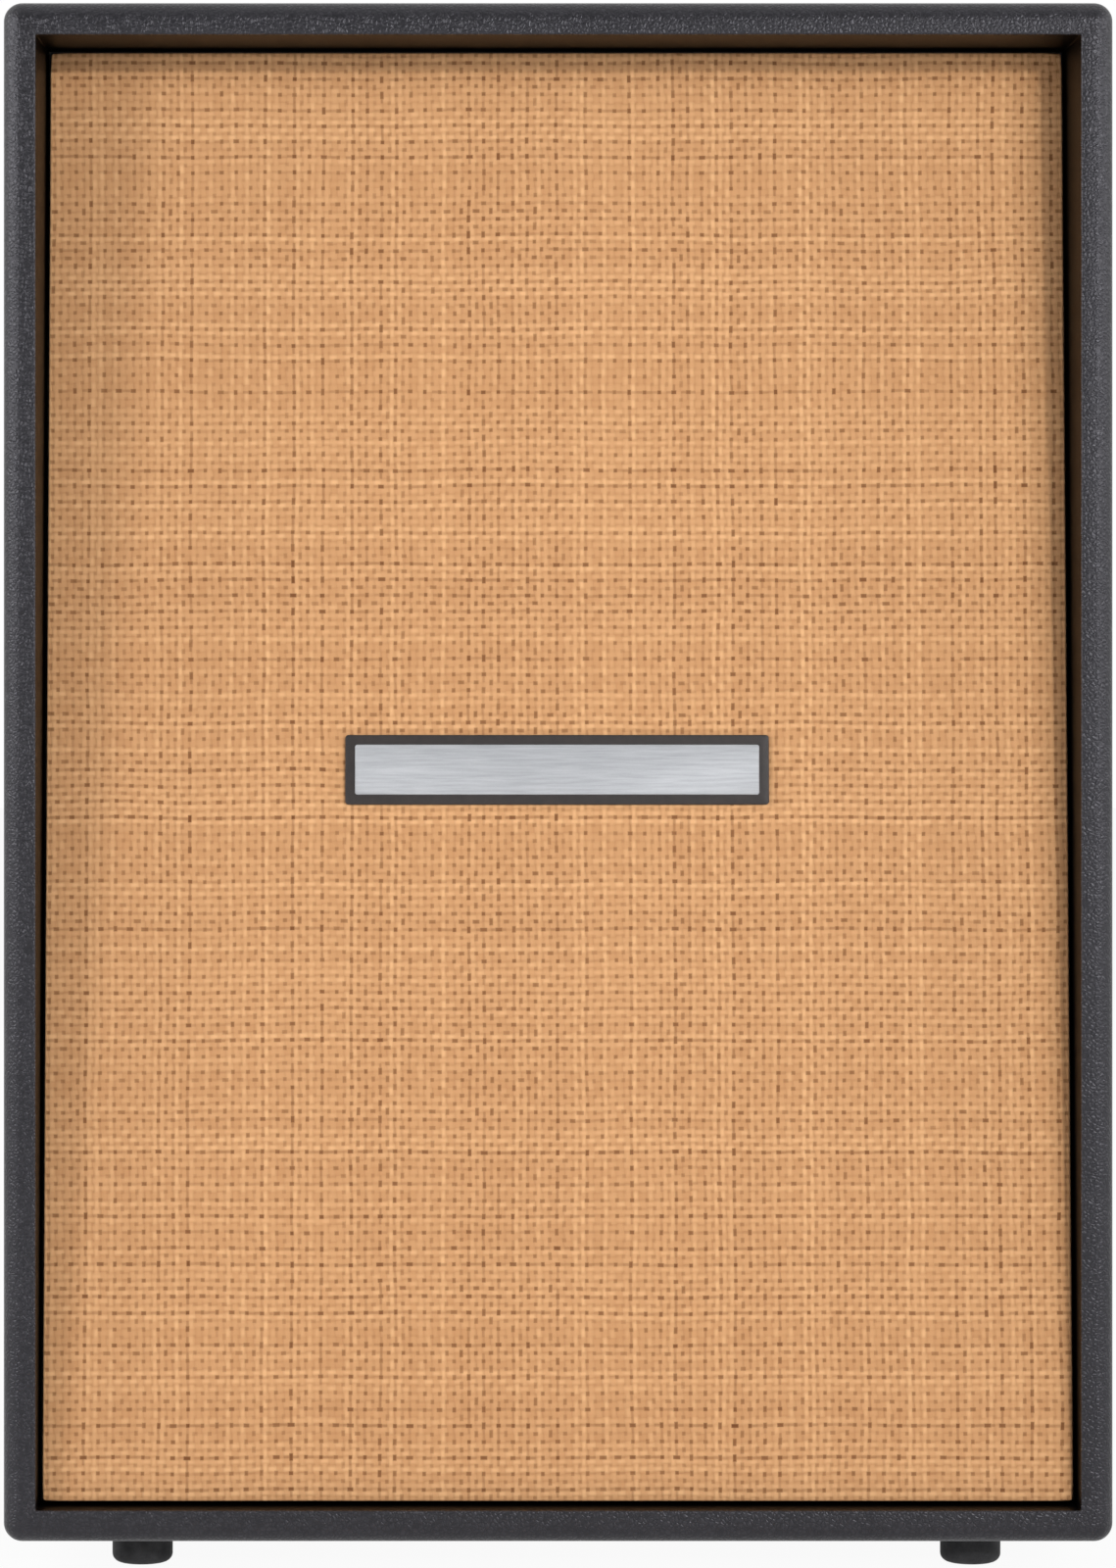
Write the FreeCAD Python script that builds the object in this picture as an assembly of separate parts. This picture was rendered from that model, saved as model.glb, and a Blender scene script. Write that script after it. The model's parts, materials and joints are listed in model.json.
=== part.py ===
import FreeCAD
import Part
import math
import os

# Tall guitar speaker cabinet for two 12 inch drivers on a baffle that leans back towards the top.
# All sizes are in millimetres. X runs to the viewer's right, Y from the front to the back, Z up.
# The origin is on the floor, under the middle of the cabinet.

Vec = FreeCAD.Vector
Place = FreeCAD.Placement
Turn = FreeCAD.Rotation

# Boards, covering and their edges
board = 13.5
covering = 0.8
edge_radius = 8.5
lip_radius = 1.2
finger_length = 30.0
batten = 18.0

# Grille panel and its place in the front opening
recess_top = 65.0
recess_bottom = 15.0
grille_gap = 1.8
cloth_thickness = 0.8
cloth_turn = 16.0
frame_thickness = 9.0
grille_rail = 40.0
pad_thickness = 2.0
pad_length = 50.0
pad_margin = 2.0
pad_height_shares = (-0.36, 0.0, 0.36)

# Blank badge in the middle of the grille
badge_width = 195.0
badge_height = 32.0
badge_thickness = 3.0
badge_corner = 1.5
badge_border = 4.5
badge_step = 0.8
badge_stud_radius = 1.5
badge_stud_inset = 25.0
badge_stud_reach = 6.0

# Baffle
baffle_thickness = 15.0
baffle_clearance = 1.0
mouth_step = 2.0

# Driver: pressed chassis
driver_diameter = 309.0
flange_width = 18.5
chassis_sheet = 1.5
collar_depth = 12.0
collar_taper = 5.0
neck_length = 8.0
throat_depth = 15.5
throat_taper = 2.0
ledge_step = 1.0
ledge_margin = 4.0
plate_hole_margin = 6.5
window_count = 6
window_angle = 42.0
window_front = 7.0
window_rear = 8.0
gasket_thickness = 3.0
bolt_count = 4
bolt_inset = 6.0

# Driver: moving pieces and their suspension
cone_depth = 55.0
cone_paper = 0.8
surround_width = 9.0
surround_lip = 5.0
surround_margin = 1.0
surround_waves = 3
wave_share = 0.36
suspension_cloth = 0.6
glue_gap = 0.1
dust_cap_radius = 36.0
dust_cap_height = 10.0
dust_cap_thickness = 0.8
coil_radius = 22.5
former_wall = 0.3
former_tip = 4.0
winding = 0.4
winding_length = 10.0
coil_gap = 0.6
spider_radius = 66.0
spider_lip = 6.0
spider_waves = 10

# Driver: magnet
pole_plate_thickness = 6.0
top_plate_radius = 60.0
magnet_radius = 72.0
magnet_thickness = 18.0
magnet_bore_margin = 11.5
plate_chamfer = 1.0

# Driver: terminals and the leads to the cone
terminal_length = 24.0
terminal_width = 26.0
terminal_thickness = 2.0
tab_width = 6.3
tab_thickness = 0.8
tab_height = 9.0
tab_pitch = 14.0
lead_radius = 0.7
lead_gap = 0.3
lead_bow = 12.0
lead_rise = 3.0
lead_cone_share = 0.48

# Drivers in the cabinet
driver_gap = 5.4
driver_clearance = 5.5
driver_side_space = 83.2
rear_air_gap = 76.2

# Back panels
back_thickness = 9.0
back_inset = 8.0
back_gap = 1.2
centre_panel_height = 230.0
cross_rail_height = 44.0
back_screw_inset = 10.0

# Screws, nuts and their clearances
screw_radius = 2.0
screw_tip = 4.0
screw_fit = 0.1
loose_fit = 0.3
sunk_head_radius = 4.0
sunk_head_height = 2.4
pan_head_radius = 4.2
pan_head_height = 2.6
pan_head_round = 1.4
cross_width = 0.9
cross_length = 4.0
cross_depth = 1.3
baffle_screw_length = 28.0
baffle_side_screws = 5
baffle_end_screws = 3
back_screw_length = 24.0
handle_screw_length = 13.0
jack_screw_length = 9.0
bolt_radius = 2.5
bolt_fit = 0.5
tee_barrel_radius = 3.4
tee_barrel_length = 11.0
tee_flange_radius = 9.5
tee_flange_thickness = 1.5

# Jack plate on the lower back panel
jack_plate_ends = 25.0
jack_plate_sides = 15.0
jack_plate_thickness = 1.5
jack_plate_corner = 6.0
jack_screw_inset = 9.0
jack_cutout_margin = 6.0
jack_cutout_corner = 5.0
jack_pitch = 40.0
jack_body_width = 18.0
jack_body_height = 20.0
jack_body_depth = 24.0
jack_bore_radius = 3.25
jack_bore_depth = 20.0
bushing_radius = 4.7
bushing_reach = 6.5
bushing_fit = 0.1
nut_flats = 14.0
nut_thickness = 2.5
washer_radius = 8.0
washer_thickness = 0.8
lug_width = 4.0
lug_thickness = 1.0
lug_length = 9.0
lug_pitch = 11.0
link_wire_radius = 1.2
link_wire_drop = 14.0

# Speaker cables inside the cabinet
cable_radius = 3.0
boot_margin = 2.5
boot_length = 16.0
boot_fit = 0.1
clip_wall = 3.0
clip_length = 12.0
clip_inset = 28.0
bend_share = 0.45

# Rubber feet
foot_diameter = 28.0
foot_height = 18.0
foot_edge = 4.0
foot_inset = 60.0
foot_bore_radius = 7.0
foot_seat = 8.0
foot_screw_radius = 2.5
foot_screw_length = 20.0

# Side handles
handle_mouth_length = 135.0
handle_mouth_height = 66.0
handle_mouth_corner = 12.0
handle_depth = 42.0
handle_wall = 2.5
handle_flange_ends = 18.5
handle_flange_sides = 13.0
handle_flange_thickness = 3.0
handle_flange_corner = 14.0
handle_flange_edge = 1.4
handle_fit = 0.5
handle_screw_inset = 8.0
handle_rise = 40.0
grip_diameter = 17.0
grip_headroom = 0.5
grip_setback = 1.5

# Shared by all cuts, and the tolerance for picking edges
overrun = 5.0
pick_tolerance = 0.01

# Carcass worked out from the drivers it holds
driver_radius = driver_diameter / 2
wall = board + covering
inner_width = driver_diameter + 2 * driver_side_space
inner_height = 2 * driver_diameter + driver_gap + 2 * (batten + driver_clearance)
lined_width = inner_width - 2 * covering
lined_height = inner_height - 2 * covering
cabinet_width = inner_width + 2 * wall
cabinet_height = inner_height + 2 * wall
baffle_front = cloth_thickness + frame_thickness + 2 * pad_thickness
baffle_rear = baffle_front + baffle_thickness
ledge_depth = cone_depth + neck_length
basket_depth = ledge_depth + throat_depth
motor_front = basket_depth + chassis_sheet
motor_depth = 2 * pole_plate_thickness + magnet_thickness
driver_depth = gasket_thickness + motor_front + motor_depth
cabinet_depth = recess_top + baffle_rear + driver_depth + rear_air_gap + back_thickness + back_inset
front_y = -cabinet_depth / 2
rear_y = cabinet_depth / 2
base_z = foot_height
top_z = base_z + cabinet_height
mid_z = (base_z + top_z) / 2
reach = cabinet_width + cabinet_depth + cabinet_height

# Leaning frame of the grille and baffle: u to the right, d into the cabinet, v up the slope
lean = math.atan((recess_top - recess_bottom) / lined_height)
lean_place = Place(Vec(0, front_y + (recess_top + recess_bottom) / 2, mid_z),
                   Turn(Vec(1, 0, 0), -math.degrees(lean)))
grille_width = lined_width - 2 * grille_gap
grille_height = (lined_height - 2 * grille_gap) / math.cos(lean)

# Back of the cabinet
back_rear_y = rear_y - back_inset
back_front_y = back_rear_y - back_thickness
batten_front_y = back_front_y - batten
lined_base_z = base_z + wall + covering
fixed_panel_height = (lined_height - centre_panel_height - 4 * back_gap) / 2
lower_panel_z = lined_base_z + back_gap
centre_panel_z = lower_panel_z + fixed_panel_height + back_gap
upper_panel_z = centre_panel_z + centre_panel_height + back_gap
back_half_width = lined_width / 2 - back_gap
lower_seam_z = centre_panel_z - back_gap / 2
upper_seam_z = upper_panel_z - back_gap / 2

# Driver sections, measured from the front face of the flange
flange_inner = driver_radius - flange_width
bolt_circle = driver_radius - bolt_inset
gasket_inner = flange_inner + surround_lip + surround_margin
mouth_radius = gasket_inner - mouth_step
cone_radius = flange_inner - surround_width
cone_front = -suspension_cloth
cone_neck = coil_radius + glue_gap
cone_slope = cone_depth / (cone_radius - cone_neck)
ledge_outer = spider_radius + ledge_margin
ledge_inner = spider_radius - spider_lip + ledge_step
top_plate_hole = coil_radius + winding + coil_gap
pole_radius = coil_radius - former_wall - coil_gap
plate_hole = top_plate_hole + plate_hole_margin
magnet_hole = top_plate_hole + magnet_bore_margin
yoke_front = motor_front + pole_plate_thickness + magnet_thickness
driver_level = (driver_diameter + driver_gap) / 2

# Jacks and handles
jack_z = lower_panel_z + fixed_panel_height / 2
jack_cutout_width = jack_pitch + jack_body_width + 2 * jack_cutout_margin
jack_cutout_height = jack_body_height + 2 * jack_cutout_margin
jack_plate_width = jack_cutout_width + 2 * jack_plate_ends
jack_plate_height = jack_cutout_height + 2 * jack_plate_sides
jack_rear_y = back_rear_y - jack_body_depth
lug_end_y = jack_rear_y - lug_length
handle_z = mid_z + handle_rise
handle_top_v = (handle_rise + handle_mouth_height / 2) / math.cos(lean)
handle_front_y = lean_place.multVec(Vec(0, baffle_rear + batten, handle_top_v)).y
handle_y = (handle_front_y + batten_front_y) / 2
handle_out_x = cabinet_width / 2 + handle_flange_thickness
cup_length = handle_mouth_length + 2 * handle_wall
cup_height = handle_mouth_height + 2 * handle_wall
cup_corner = handle_mouth_corner + handle_wall
grip_radius = grip_diameter / 2
grip_x = handle_out_x - grip_setback - grip_radius
grip_top_z = handle_z + handle_mouth_height / 2 - handle_mouth_corner - grip_headroom
grip_z = grip_top_z - grip_radius


# Basic shapes

def box(low, high):
    size = high.sub(low)
    return Part.makeBox(size.x, size.y, size.z, low)


def placed(shape, place):
    moved = shape.copy()
    moved.Placement = place.multiply(moved.Placement)
    return moved


def lean_box(low, high):
    return placed(box(low, high), lean_place)


def aim(point, direction):
    """Place whose own Z axis points along a direction."""
    return Place(point, Turn(Vec(0, 0, 1), direction))


def round_edges(shape, radius, direction):
    """Rounds the straight edges that run along a direction."""
    chosen = []
    for edge in shape.Edges:
        run = edge.lastVertex().Point.sub(edge.firstVertex().Point)
        if run.Length > pick_tolerance and run.cross(direction).Length < pick_tolerance * run.Length:
            chosen.append(edge)
    return shape.makeFillet(radius, chosen)


def slab(low, high, corner, direction):
    """Plate with rounded corners, square to a direction."""
    return round_edges(box(low, high), corner, direction)


def revolved(points):
    """Ring from a closed outline of radius and depth pairs."""
    corners = [Vec(radius, 0, depth) for radius, depth in points]
    face = Part.Face(Part.makePolygon(corners + corners[:1]))
    return face.revolve(Vec(), Vec(0, 0, 1), 360)


def tube(inner, outer, low, high):
    return revolved([(inner, low), (outer, low), (outer, high), (inner, high)])


def sheet_outline(points, thickness):
    """Closed outline of a folded sheet: its front line and the same line moved out by its thickness."""
    normals = []
    for (r0, z0), (r1, z1) in zip(points, points[1:]):
        length = math.hypot(r1 - r0, z1 - z0)
        normals.append(((z1 - z0) / length, (r0 - r1) / length))
    back = []
    for index, (r, z) in enumerate(points):
        before = normals[max(index - 1, 0)]
        after = normals[min(index, len(normals) - 1)]
        scale = thickness / (1 + before[0] * after[0] + before[1] * after[1])
        back.append((r + scale * (before[0] + after[0]), z + scale * (before[1] + after[1])))
    return points + back[::-1]


def wavy_ring(inner, outer, lip_end, waves, level):
    """Corrugated cloth ring of half waves, the first towards the front, with a flat outer lip."""
    step = (outer - inner) / waves
    height = wave_share * step
    edges = []
    for shift in (0, suspension_cloth):
        for index in range(waves):
            start = inner + index * step
            crest = level + shift - height * (-1) ** index
            edges.append(Part.Arc(Vec(start, 0, level + shift), Vec(start + step / 2, 0, crest),
                                  Vec(start + step, 0, level + shift)).toShape())
        edges.append(Part.makeLine(Vec(outer, 0, level + shift), Vec(lip_end, 0, level + shift)))
    for radius in (inner, lip_end):
        edges.append(Part.makeLine(Vec(radius, 0, level), Vec(radius, 0, level + suspension_cloth)))
    face = Part.Face(Part.Wire(Part.__sortEdges__(edges)))
    return face.revolve(Vec(), Vec(0, 0, 1), 360)


def cable(name, points, radius):
    """Round cable along straight runs joined by arcs that are as large as the runs allow."""
    edges = []
    radii = []
    start = points[0]
    for before, corner, after in zip(points, points[1:], points[2:]):
        run_in = corner.sub(before)
        run_out = after.sub(corner)
        turn = run_in.getAngle(run_out)
        tangent = bend_share * min(run_in.Length, run_out.Length)
        bend = tangent / math.tan(turn / 2)
        run_in.normalize()
        run_out.normalize()
        inward = run_out.sub(run_in).normalize()
        entry = corner.sub(run_in * tangent)
        middle = corner.add(inward * (bend / math.cos(turn / 2) - bend))
        leave = corner.add(run_out * tangent)
        edges.append(Part.makeLine(start, entry))
        edges.append(Part.Arc(entry, middle, leave).toShape())
        radii.append(round(bend, 1))
        start = leave
    edges.append(Part.makeLine(start, points[-1]))
    path = Part.Wire(edges)
    ring = Part.Wire(Part.Circle(points[0], points[1].sub(points[0]), radius).toShape())
    print(name, "length", round(path.Length, 1), "bend radii", radii)
    return path.makePipeShell([ring], True, False)


# Screws: the head's seat is at zero on the screw's own Z axis, which runs into the work

def cross_recess(depth_from):
    bars = []
    for half_x, half_y in ((cross_length / 2, cross_width / 2), (cross_width / 2, cross_length / 2)):
        bars.append(box(Vec(-half_x, -half_y, depth_from - overrun),
                        Vec(half_x, half_y, depth_from + cross_depth)))
    return bars


def sunk_screw(length):
    """Wood screw with a countersunk head that ends flush at zero."""
    outline = [(0, 0), (sunk_head_radius, 0), (screw_radius, sunk_head_height),
               (screw_radius, length - screw_tip), (0, length)]
    return revolved(outline).cut(cross_recess(0))


def sunk_hole(length, fit):
    radius = screw_radius + fit
    outline = [(0, -overrun), (sunk_head_radius + fit, -overrun), (sunk_head_radius + fit, 0),
               (radius, sunk_head_height), (radius, length + fit), (0, length + fit)]
    return revolved(outline)


def pan_screw(radius, length, head_radius):
    """Wood screw with a domed head that stands on its seat."""
    outline = [(0, -pan_head_height), (head_radius, -pan_head_height), (head_radius, 0), (radius, 0),
               (radius, length - screw_tip), (0, length)]
    screw = revolved(outline)
    rims = [edge for edge in screw.Edges if abs(edge.CenterOfMass.z + pan_head_height) < pick_tolerance]
    return screw.makeFillet(pan_head_round, rims).cut(cross_recess(-pan_head_height))


def straight_hole(radius, length, fit):
    return Part.makeCylinder(radius + fit, length + fit + overrun, Vec(0, 0, -overrun))


def spread(half, count):
    """Evenly spaced places from one end of a span to the other."""
    return [half * (2 * index / (count - 1) - 1) for index in range(count)]


# Places of the repeated fasteners

def baffle_screw_places():
    side_u = (inner_width - batten) / 2
    end_v = (inner_height - batten) / 2
    sites = []
    for v in spread(end_v - 2 * batten, baffle_side_screws):
        sites += [(-side_u, v), (side_u, v)]
    for u in spread(side_u - 3 * batten, baffle_end_screws):
        sites += [(u, -end_v), (u, end_v)]
    return [lean_place.multiply(aim(Vec(u, baffle_front, v), Vec(0, 1, 0))) for u, v in sites]


def panel_screw_places(low_z, height):
    """Three screws along the top and bottom edges of a back panel, and one halfway up each side."""
    side_x = back_half_width - back_screw_inset
    sites = [(x, z) for x in (-side_x, 0, side_x)
             for z in (low_z + back_screw_inset, low_z + height - back_screw_inset)]
    sites += [(x, low_z + height / 2) for x in (-side_x, side_x)]
    return [aim(Vec(x, back_rear_y, z), Vec(0, -1, 0)) for x, z in sites]


def fixed_screw_places():
    lower = panel_screw_places(lower_panel_z, fixed_panel_height)
    return lower + panel_screw_places(upper_panel_z, fixed_panel_height)


def centre_screw_places():
    return panel_screw_places(centre_panel_z, centre_panel_height)


def jack_screw_places():
    half_x = jack_plate_width / 2 - jack_screw_inset
    half_z = jack_plate_height / 2 - jack_screw_inset
    return [aim(Vec(x, back_rear_y + jack_plate_thickness, jack_z + z), Vec(0, -1, 0))
            for x in (-half_x, half_x) for z in (-half_z, half_z)]


def handle_screw_places(side):
    half_y = handle_mouth_length / 2 + handle_flange_ends - handle_screw_inset
    half_z = handle_mouth_height / 2 + handle_flange_sides - handle_screw_inset
    return [aim(Vec(side * handle_out_x, handle_y + y, handle_z + z), Vec(-side, 0, 0))
            for y in (-half_y, half_y) for z in (-half_z, half_z)]


def foot_places():
    half_x = cabinet_width / 2 - foot_inset
    half_y = cabinet_depth / 2 - foot_inset
    return [Place(Vec(x, y, 0), Turn()) for x in (-half_x, half_x) for y in (-half_y, half_y)]


def bolt_places():
    """Heads of the driver bolts, on the back of each flange."""
    sites = []
    seat = baffle_rear + gasket_thickness + chassis_sheet
    for v in (-driver_level, driver_level):
        for index in range(bolt_count):
            angle = 2 * math.pi * (index + 1 / 2) / bolt_count
            point = Vec(bolt_circle * math.cos(angle), seat, v + bolt_circle * math.sin(angle))
            sites.append(lean_place.multiply(aim(point, Vec(0, -1, 0))))
    return sites


def copies(shape, places):
    return [placed(shape, place) for place in places]


# Carcass and covering

def rounded_block(inset, radius):
    half_x = cabinet_width / 2 - inset
    block = box(Vec(-half_x, front_y + inset, base_z + inset), Vec(half_x, rear_y - inset, top_z - inset))
    return block.makeFillet(radius, block.Edges)


def opening(width, height, low_y, high_y):
    return box(Vec(-width / 2, low_y, mid_z - height / 2), Vec(width / 2, high_y, mid_z + height / 2))


def round_lips(shape, width, height, inset, radius):
    """Rounds the inner edges of the front and rear openings."""
    lips = []
    for edge in shape.Edges:
        centre = edge.CenterOfMass
        on_face = min(abs(centre.y - front_y - inset), abs(centre.y - rear_y + inset)) < pick_tolerance
        inside = abs(centre.x) < width / 2 + pick_tolerance
        if on_face and inside and abs(centre.z - mid_z) < height / 2 + pick_tolerance:
            lips.append(edge)
    return shape.makeFillet(radius, lips)


def carcass_ring():
    """The four boards as one ring, before the corner joints are cut."""
    ring = rounded_block(covering, edge_radius - covering)
    ring = ring.cut(opening(inner_width, inner_height, front_y - overrun, rear_y + overrun))
    return round_lips(ring, inner_width, inner_height, covering, lip_radius)


def corner_fingers(first):
    """Every other slice of the four corners, from front to back."""
    count = 2 * int(cabinet_depth / (2 * finger_length)) + 1
    length = cabinet_depth / count
    slices = []
    for index in range(first, count, 2):
        low_y = front_y + index * length
        for low_x in (-cabinet_width / 2, inner_width / 2):
            for low_z in (base_z, top_z - wall):
                slices.append(box(Vec(low_x, low_y, low_z), Vec(low_x + wall, low_y + length, low_z + wall)))
    return slices


def cup_block(side, fit, deep):
    """Outer form of a handle cup, from the outer face of its flange to a depth."""
    half_y = cup_length / 2 + fit
    half_z = cup_height / 2 + fit
    block = slab(Vec(handle_out_x - deep, handle_y - half_y, handle_z - half_z),
                 Vec(handle_out_x, handle_y + half_y, handle_z + half_z), cup_corner + fit, Vec(1, 0, 0))
    return block if side > 0 else block.mirror(Vec(), Vec(1, 0, 0))


def wall_cuts():
    """Openings that pass through the covering and the boards."""
    cuts = copies(straight_hole(foot_screw_radius, foot_screw_length, screw_fit),
                  [Place(Vec(0, 0, base_z - foot_seat), Turn()).multiply(place) for place in foot_places()])
    for side in (-1, 1):
        cuts.append(cup_block(side, handle_fit, handle_depth))
        cuts += copies(sunk_hole(handle_screw_length, screw_fit), handle_screw_places(side))
    return cuts


def side_panel(side):
    low_x = -cabinet_width / 2 if side < 0 else inner_width / 2
    region = box(Vec(low_x, front_y, base_z), Vec(low_x + wall, rear_y, top_z))
    return carcass_ring().common(region).cut(corner_fingers(1) + wall_cuts())


def level_panel(low_z):
    region = box(Vec(-cabinet_width / 2, front_y, low_z), Vec(cabinet_width / 2, rear_y, low_z + wall))
    return carcass_ring().common(region).cut(corner_fingers(0) + wall_cuts())


def vinyl_covering():
    """Thin skin over all outer faces, turned in at the front to the baffle and at the rear to the back."""
    middle = opening(inner_width, inner_height, front_y - overrun, back_front_y)
    behind_baffle = lean_box(Vec(-reach, baffle_front, -reach), Vec(reach, baffle_front + reach, reach))
    lined = opening(lined_width, lined_height, front_y - overrun, rear_y + overrun)
    skin = rounded_block(0, edge_radius).cut([lined, middle.common(behind_baffle)])
    skin = round_lips(skin, lined_width, lined_height, 0, lip_radius + covering)
    return skin.cut([carcass_ring()] + wall_cuts())


def interior():
    return opening(inner_width, inner_height, front_y, rear_y)


# Baffle and battens

def baffle_board():
    room = opening(inner_width - 2 * baffle_clearance, inner_height - 2 * baffle_clearance, front_y, rear_y)
    blank = lean_box(Vec(-reach, baffle_front, -reach), Vec(reach, baffle_rear, reach)).common(room)
    cuts = copies(sunk_hole(baffle_screw_length, screw_fit), baffle_screw_places())
    cuts += copies(straight_hole(tee_barrel_radius, driver_depth, screw_fit), bolt_places())
    for v in (-driver_level, driver_level):
        mouth = Part.makeCylinder(mouth_radius, baffle_thickness + 2 * overrun,
                                  Vec(0, baffle_front - overrun, v), Vec(0, 1, 0))
        cuts.append(placed(mouth, lean_place))
    return blank.cut(cuts)


def baffle_battens():
    """Battens glued into the carcass behind the baffle: two upright, and two level ones between them."""
    inner_u = inner_width / 2 - batten
    low_d = baffle_rear
    high_d = baffle_rear + batten
    upright_v = reach
    level_v = inner_height / 2 - batten
    battens = [lean_box(Vec(-inner_width / 2, low_d, -upright_v), Vec(-inner_u, high_d, upright_v)),
               lean_box(Vec(inner_u, low_d, -upright_v), Vec(inner_width / 2, high_d, upright_v)),
               lean_box(Vec(-inner_u, low_d, -upright_v), Vec(inner_u, high_d, -level_v)),
               lean_box(Vec(-inner_u, low_d, level_v), Vec(inner_u, high_d, upright_v))]
    holes = copies(sunk_hole(baffle_screw_length, screw_fit), baffle_screw_places())
    return [piece.common(interior()).cut(holes) for piece in battens]


def baffle_screws():
    return copies(sunk_screw(baffle_screw_length), baffle_screw_places())


# Back of the cabinet

def rear_battens():
    """Frame of battens that the back panels are screwed to, with a rail across each seam."""
    inner_x = inner_width / 2 - batten
    low_z = base_z + wall
    high_z = top_z - wall
    half_rail = cross_rail_height / 2
    spans = [(-inner_width / 2, -inner_x, low_z, high_z), (inner_x, inner_width / 2, low_z, high_z),
             (-inner_x, inner_x, low_z, low_z + batten), (-inner_x, inner_x, high_z - batten, high_z)]
    for seam in (lower_seam_z, upper_seam_z):
        spans.append((-inner_x, inner_x, seam - half_rail, seam + half_rail))
    holes = copies(straight_hole(screw_radius, back_screw_length, screw_fit), fixed_screw_places())
    holes += copies(straight_hole(screw_radius, back_screw_length, loose_fit), centre_screw_places())
    pieces = [box(Vec(x0, batten_front_y, z0), Vec(x1, back_front_y, z1)) for x0, x1, z0, z1 in spans]
    return [piece.cut(holes) for piece in pieces]


def back_panel(low_z, height, screw_places):
    blank = box(Vec(-back_half_width, back_front_y, low_z), Vec(back_half_width, back_rear_y, low_z + height))
    return blank.cut(copies(straight_hole(screw_radius, back_screw_length, screw_fit), screw_places))


def lower_back_panel():
    panel = back_panel(lower_panel_z, fixed_panel_height, fixed_screw_places())
    half_x = jack_cutout_width / 2
    half_z = jack_cutout_height / 2
    cutout = slab(Vec(-half_x, back_front_y - overrun, jack_z - half_z),
                  Vec(half_x, back_rear_y + overrun, jack_z + half_z), jack_cutout_corner, Vec(0, 1, 0))
    return panel.cut([cutout] + copies(sunk_hole(jack_screw_length, screw_fit), jack_screw_places()))


# Grille

def grille_frame():
    """Flat frame with a middle rail, which the cloth is stretched over."""
    half_u = grille_width / 2
    half_v = grille_height / 2
    low_d = cloth_thickness
    high_d = cloth_thickness + frame_thickness
    edge = cloth_thickness
    frame = lean_box(Vec(edge - half_u, low_d, edge - half_v), Vec(half_u - edge, high_d, half_v - edge))
    cuts = copies(straight_hole(badge_stud_radius, badge_stud_reach, screw_fit), badge_stud_places())
    for low_v, high_v in ((grille_rail - half_v, -grille_rail / 2), (grille_rail / 2, half_v - grille_rail)):
        cuts.append(lean_box(Vec(grille_rail - half_u, low_d - overrun, low_v),
                             Vec(half_u - grille_rail, high_d + overrun, high_v)))
    return frame.cut(cuts)


def grille_cloth():
    """Cloth over the front and edges of the frame, with its margin turned in behind."""
    half_u = grille_width / 2
    half_v = grille_height / 2
    edge = cloth_thickness
    high_d = 2 * cloth_thickness + frame_thickness
    blank = lean_box(Vec(-half_u, 0, -half_v), Vec(half_u, high_d, half_v))
    inside = lean_box(Vec(edge - half_u, edge, edge - half_v),
                      Vec(half_u - edge, high_d - edge, half_v - edge))
    back = lean_box(Vec(cloth_turn - half_u, edge, cloth_turn - half_v),
                    Vec(half_u - cloth_turn, high_d + overrun, half_v - cloth_turn))
    holes = copies(straight_hole(badge_stud_radius, badge_stud_reach, screw_fit), badge_stud_places())
    return blank.cut([inside, back] + holes)


def pads(low_d):
    """Strips of hook or loop tape on the upright rails."""
    outer_u = grille_width / 2 - cloth_turn - pad_margin
    inner_u = grille_width / 2 - grille_rail + pad_margin
    strips = []
    for share in pad_height_shares:
        v = share * grille_height
        for low_u, high_u in ((-outer_u, -inner_u), (inner_u, outer_u)):
            strips.append(lean_box(Vec(low_u, low_d, v - pad_length / 2),
                                   Vec(high_u, low_d + pad_thickness, v + pad_length / 2)))
    return strips


def badge_stud_places():
    half = badge_width / 2 - badge_stud_inset
    return [lean_place.multiply(aim(Vec(u, 0, 0), Vec(0, 1, 0))) for u in (-half, half)]


def badge_plate():
    """Plate with a raised blank panel and two studs that pass through the cloth into the middle rail."""
    half_u = badge_width / 2
    half_v = badge_height / 2
    plate = slab(Vec(-half_u, badge_step - badge_thickness, -half_v), Vec(half_u, 0, half_v), badge_corner,
                 Vec(0, 1, 0))
    panel = slab(Vec(badge_border - half_u, -badge_thickness, badge_border - half_v),
                 Vec(half_u - badge_border, -badge_step, half_v - badge_border), badge_corner, Vec(0, 1, 0))
    plate = placed(plate.fuse(panel), lean_place)
    studs = copies(Part.makeCylinder(badge_stud_radius, badge_stud_reach), badge_stud_places())
    return plate.fuse(studs)


# Driver pieces on their own Z axis, which runs into the cabinet from the front face of the flange
# The terminals are towards +X

def driver_place(level, turn):
    seat = Place(Vec(0, baffle_rear + gasket_thickness, level), Turn(Vec(1, 0, 0), -90))
    return lean_place.multiply(seat).multiply(Place(Vec(), Turn(Vec(0, 0, 1), turn)))


def flange_holes(low_z):
    holes = []
    for index in range(bolt_count):
        angle = 2 * math.pi * (index + 1 / 2) / bolt_count
        point = Vec(bolt_circle * math.cos(angle), bolt_circle * math.sin(angle), low_z)
        holes.append(Part.makeCylinder(bolt_radius + bolt_fit, overrun + gasket_thickness, point))
    return holes


def gasket():
    return tube(gasket_inner, driver_radius, -gasket_thickness, 0).cut(flange_holes(-overrun))


def wall_line():
    """Ends of the sloping wall of the chassis, on its front side."""
    return (flange_inner - collar_taper, collar_depth), (ledge_outer, ledge_depth)


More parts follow.
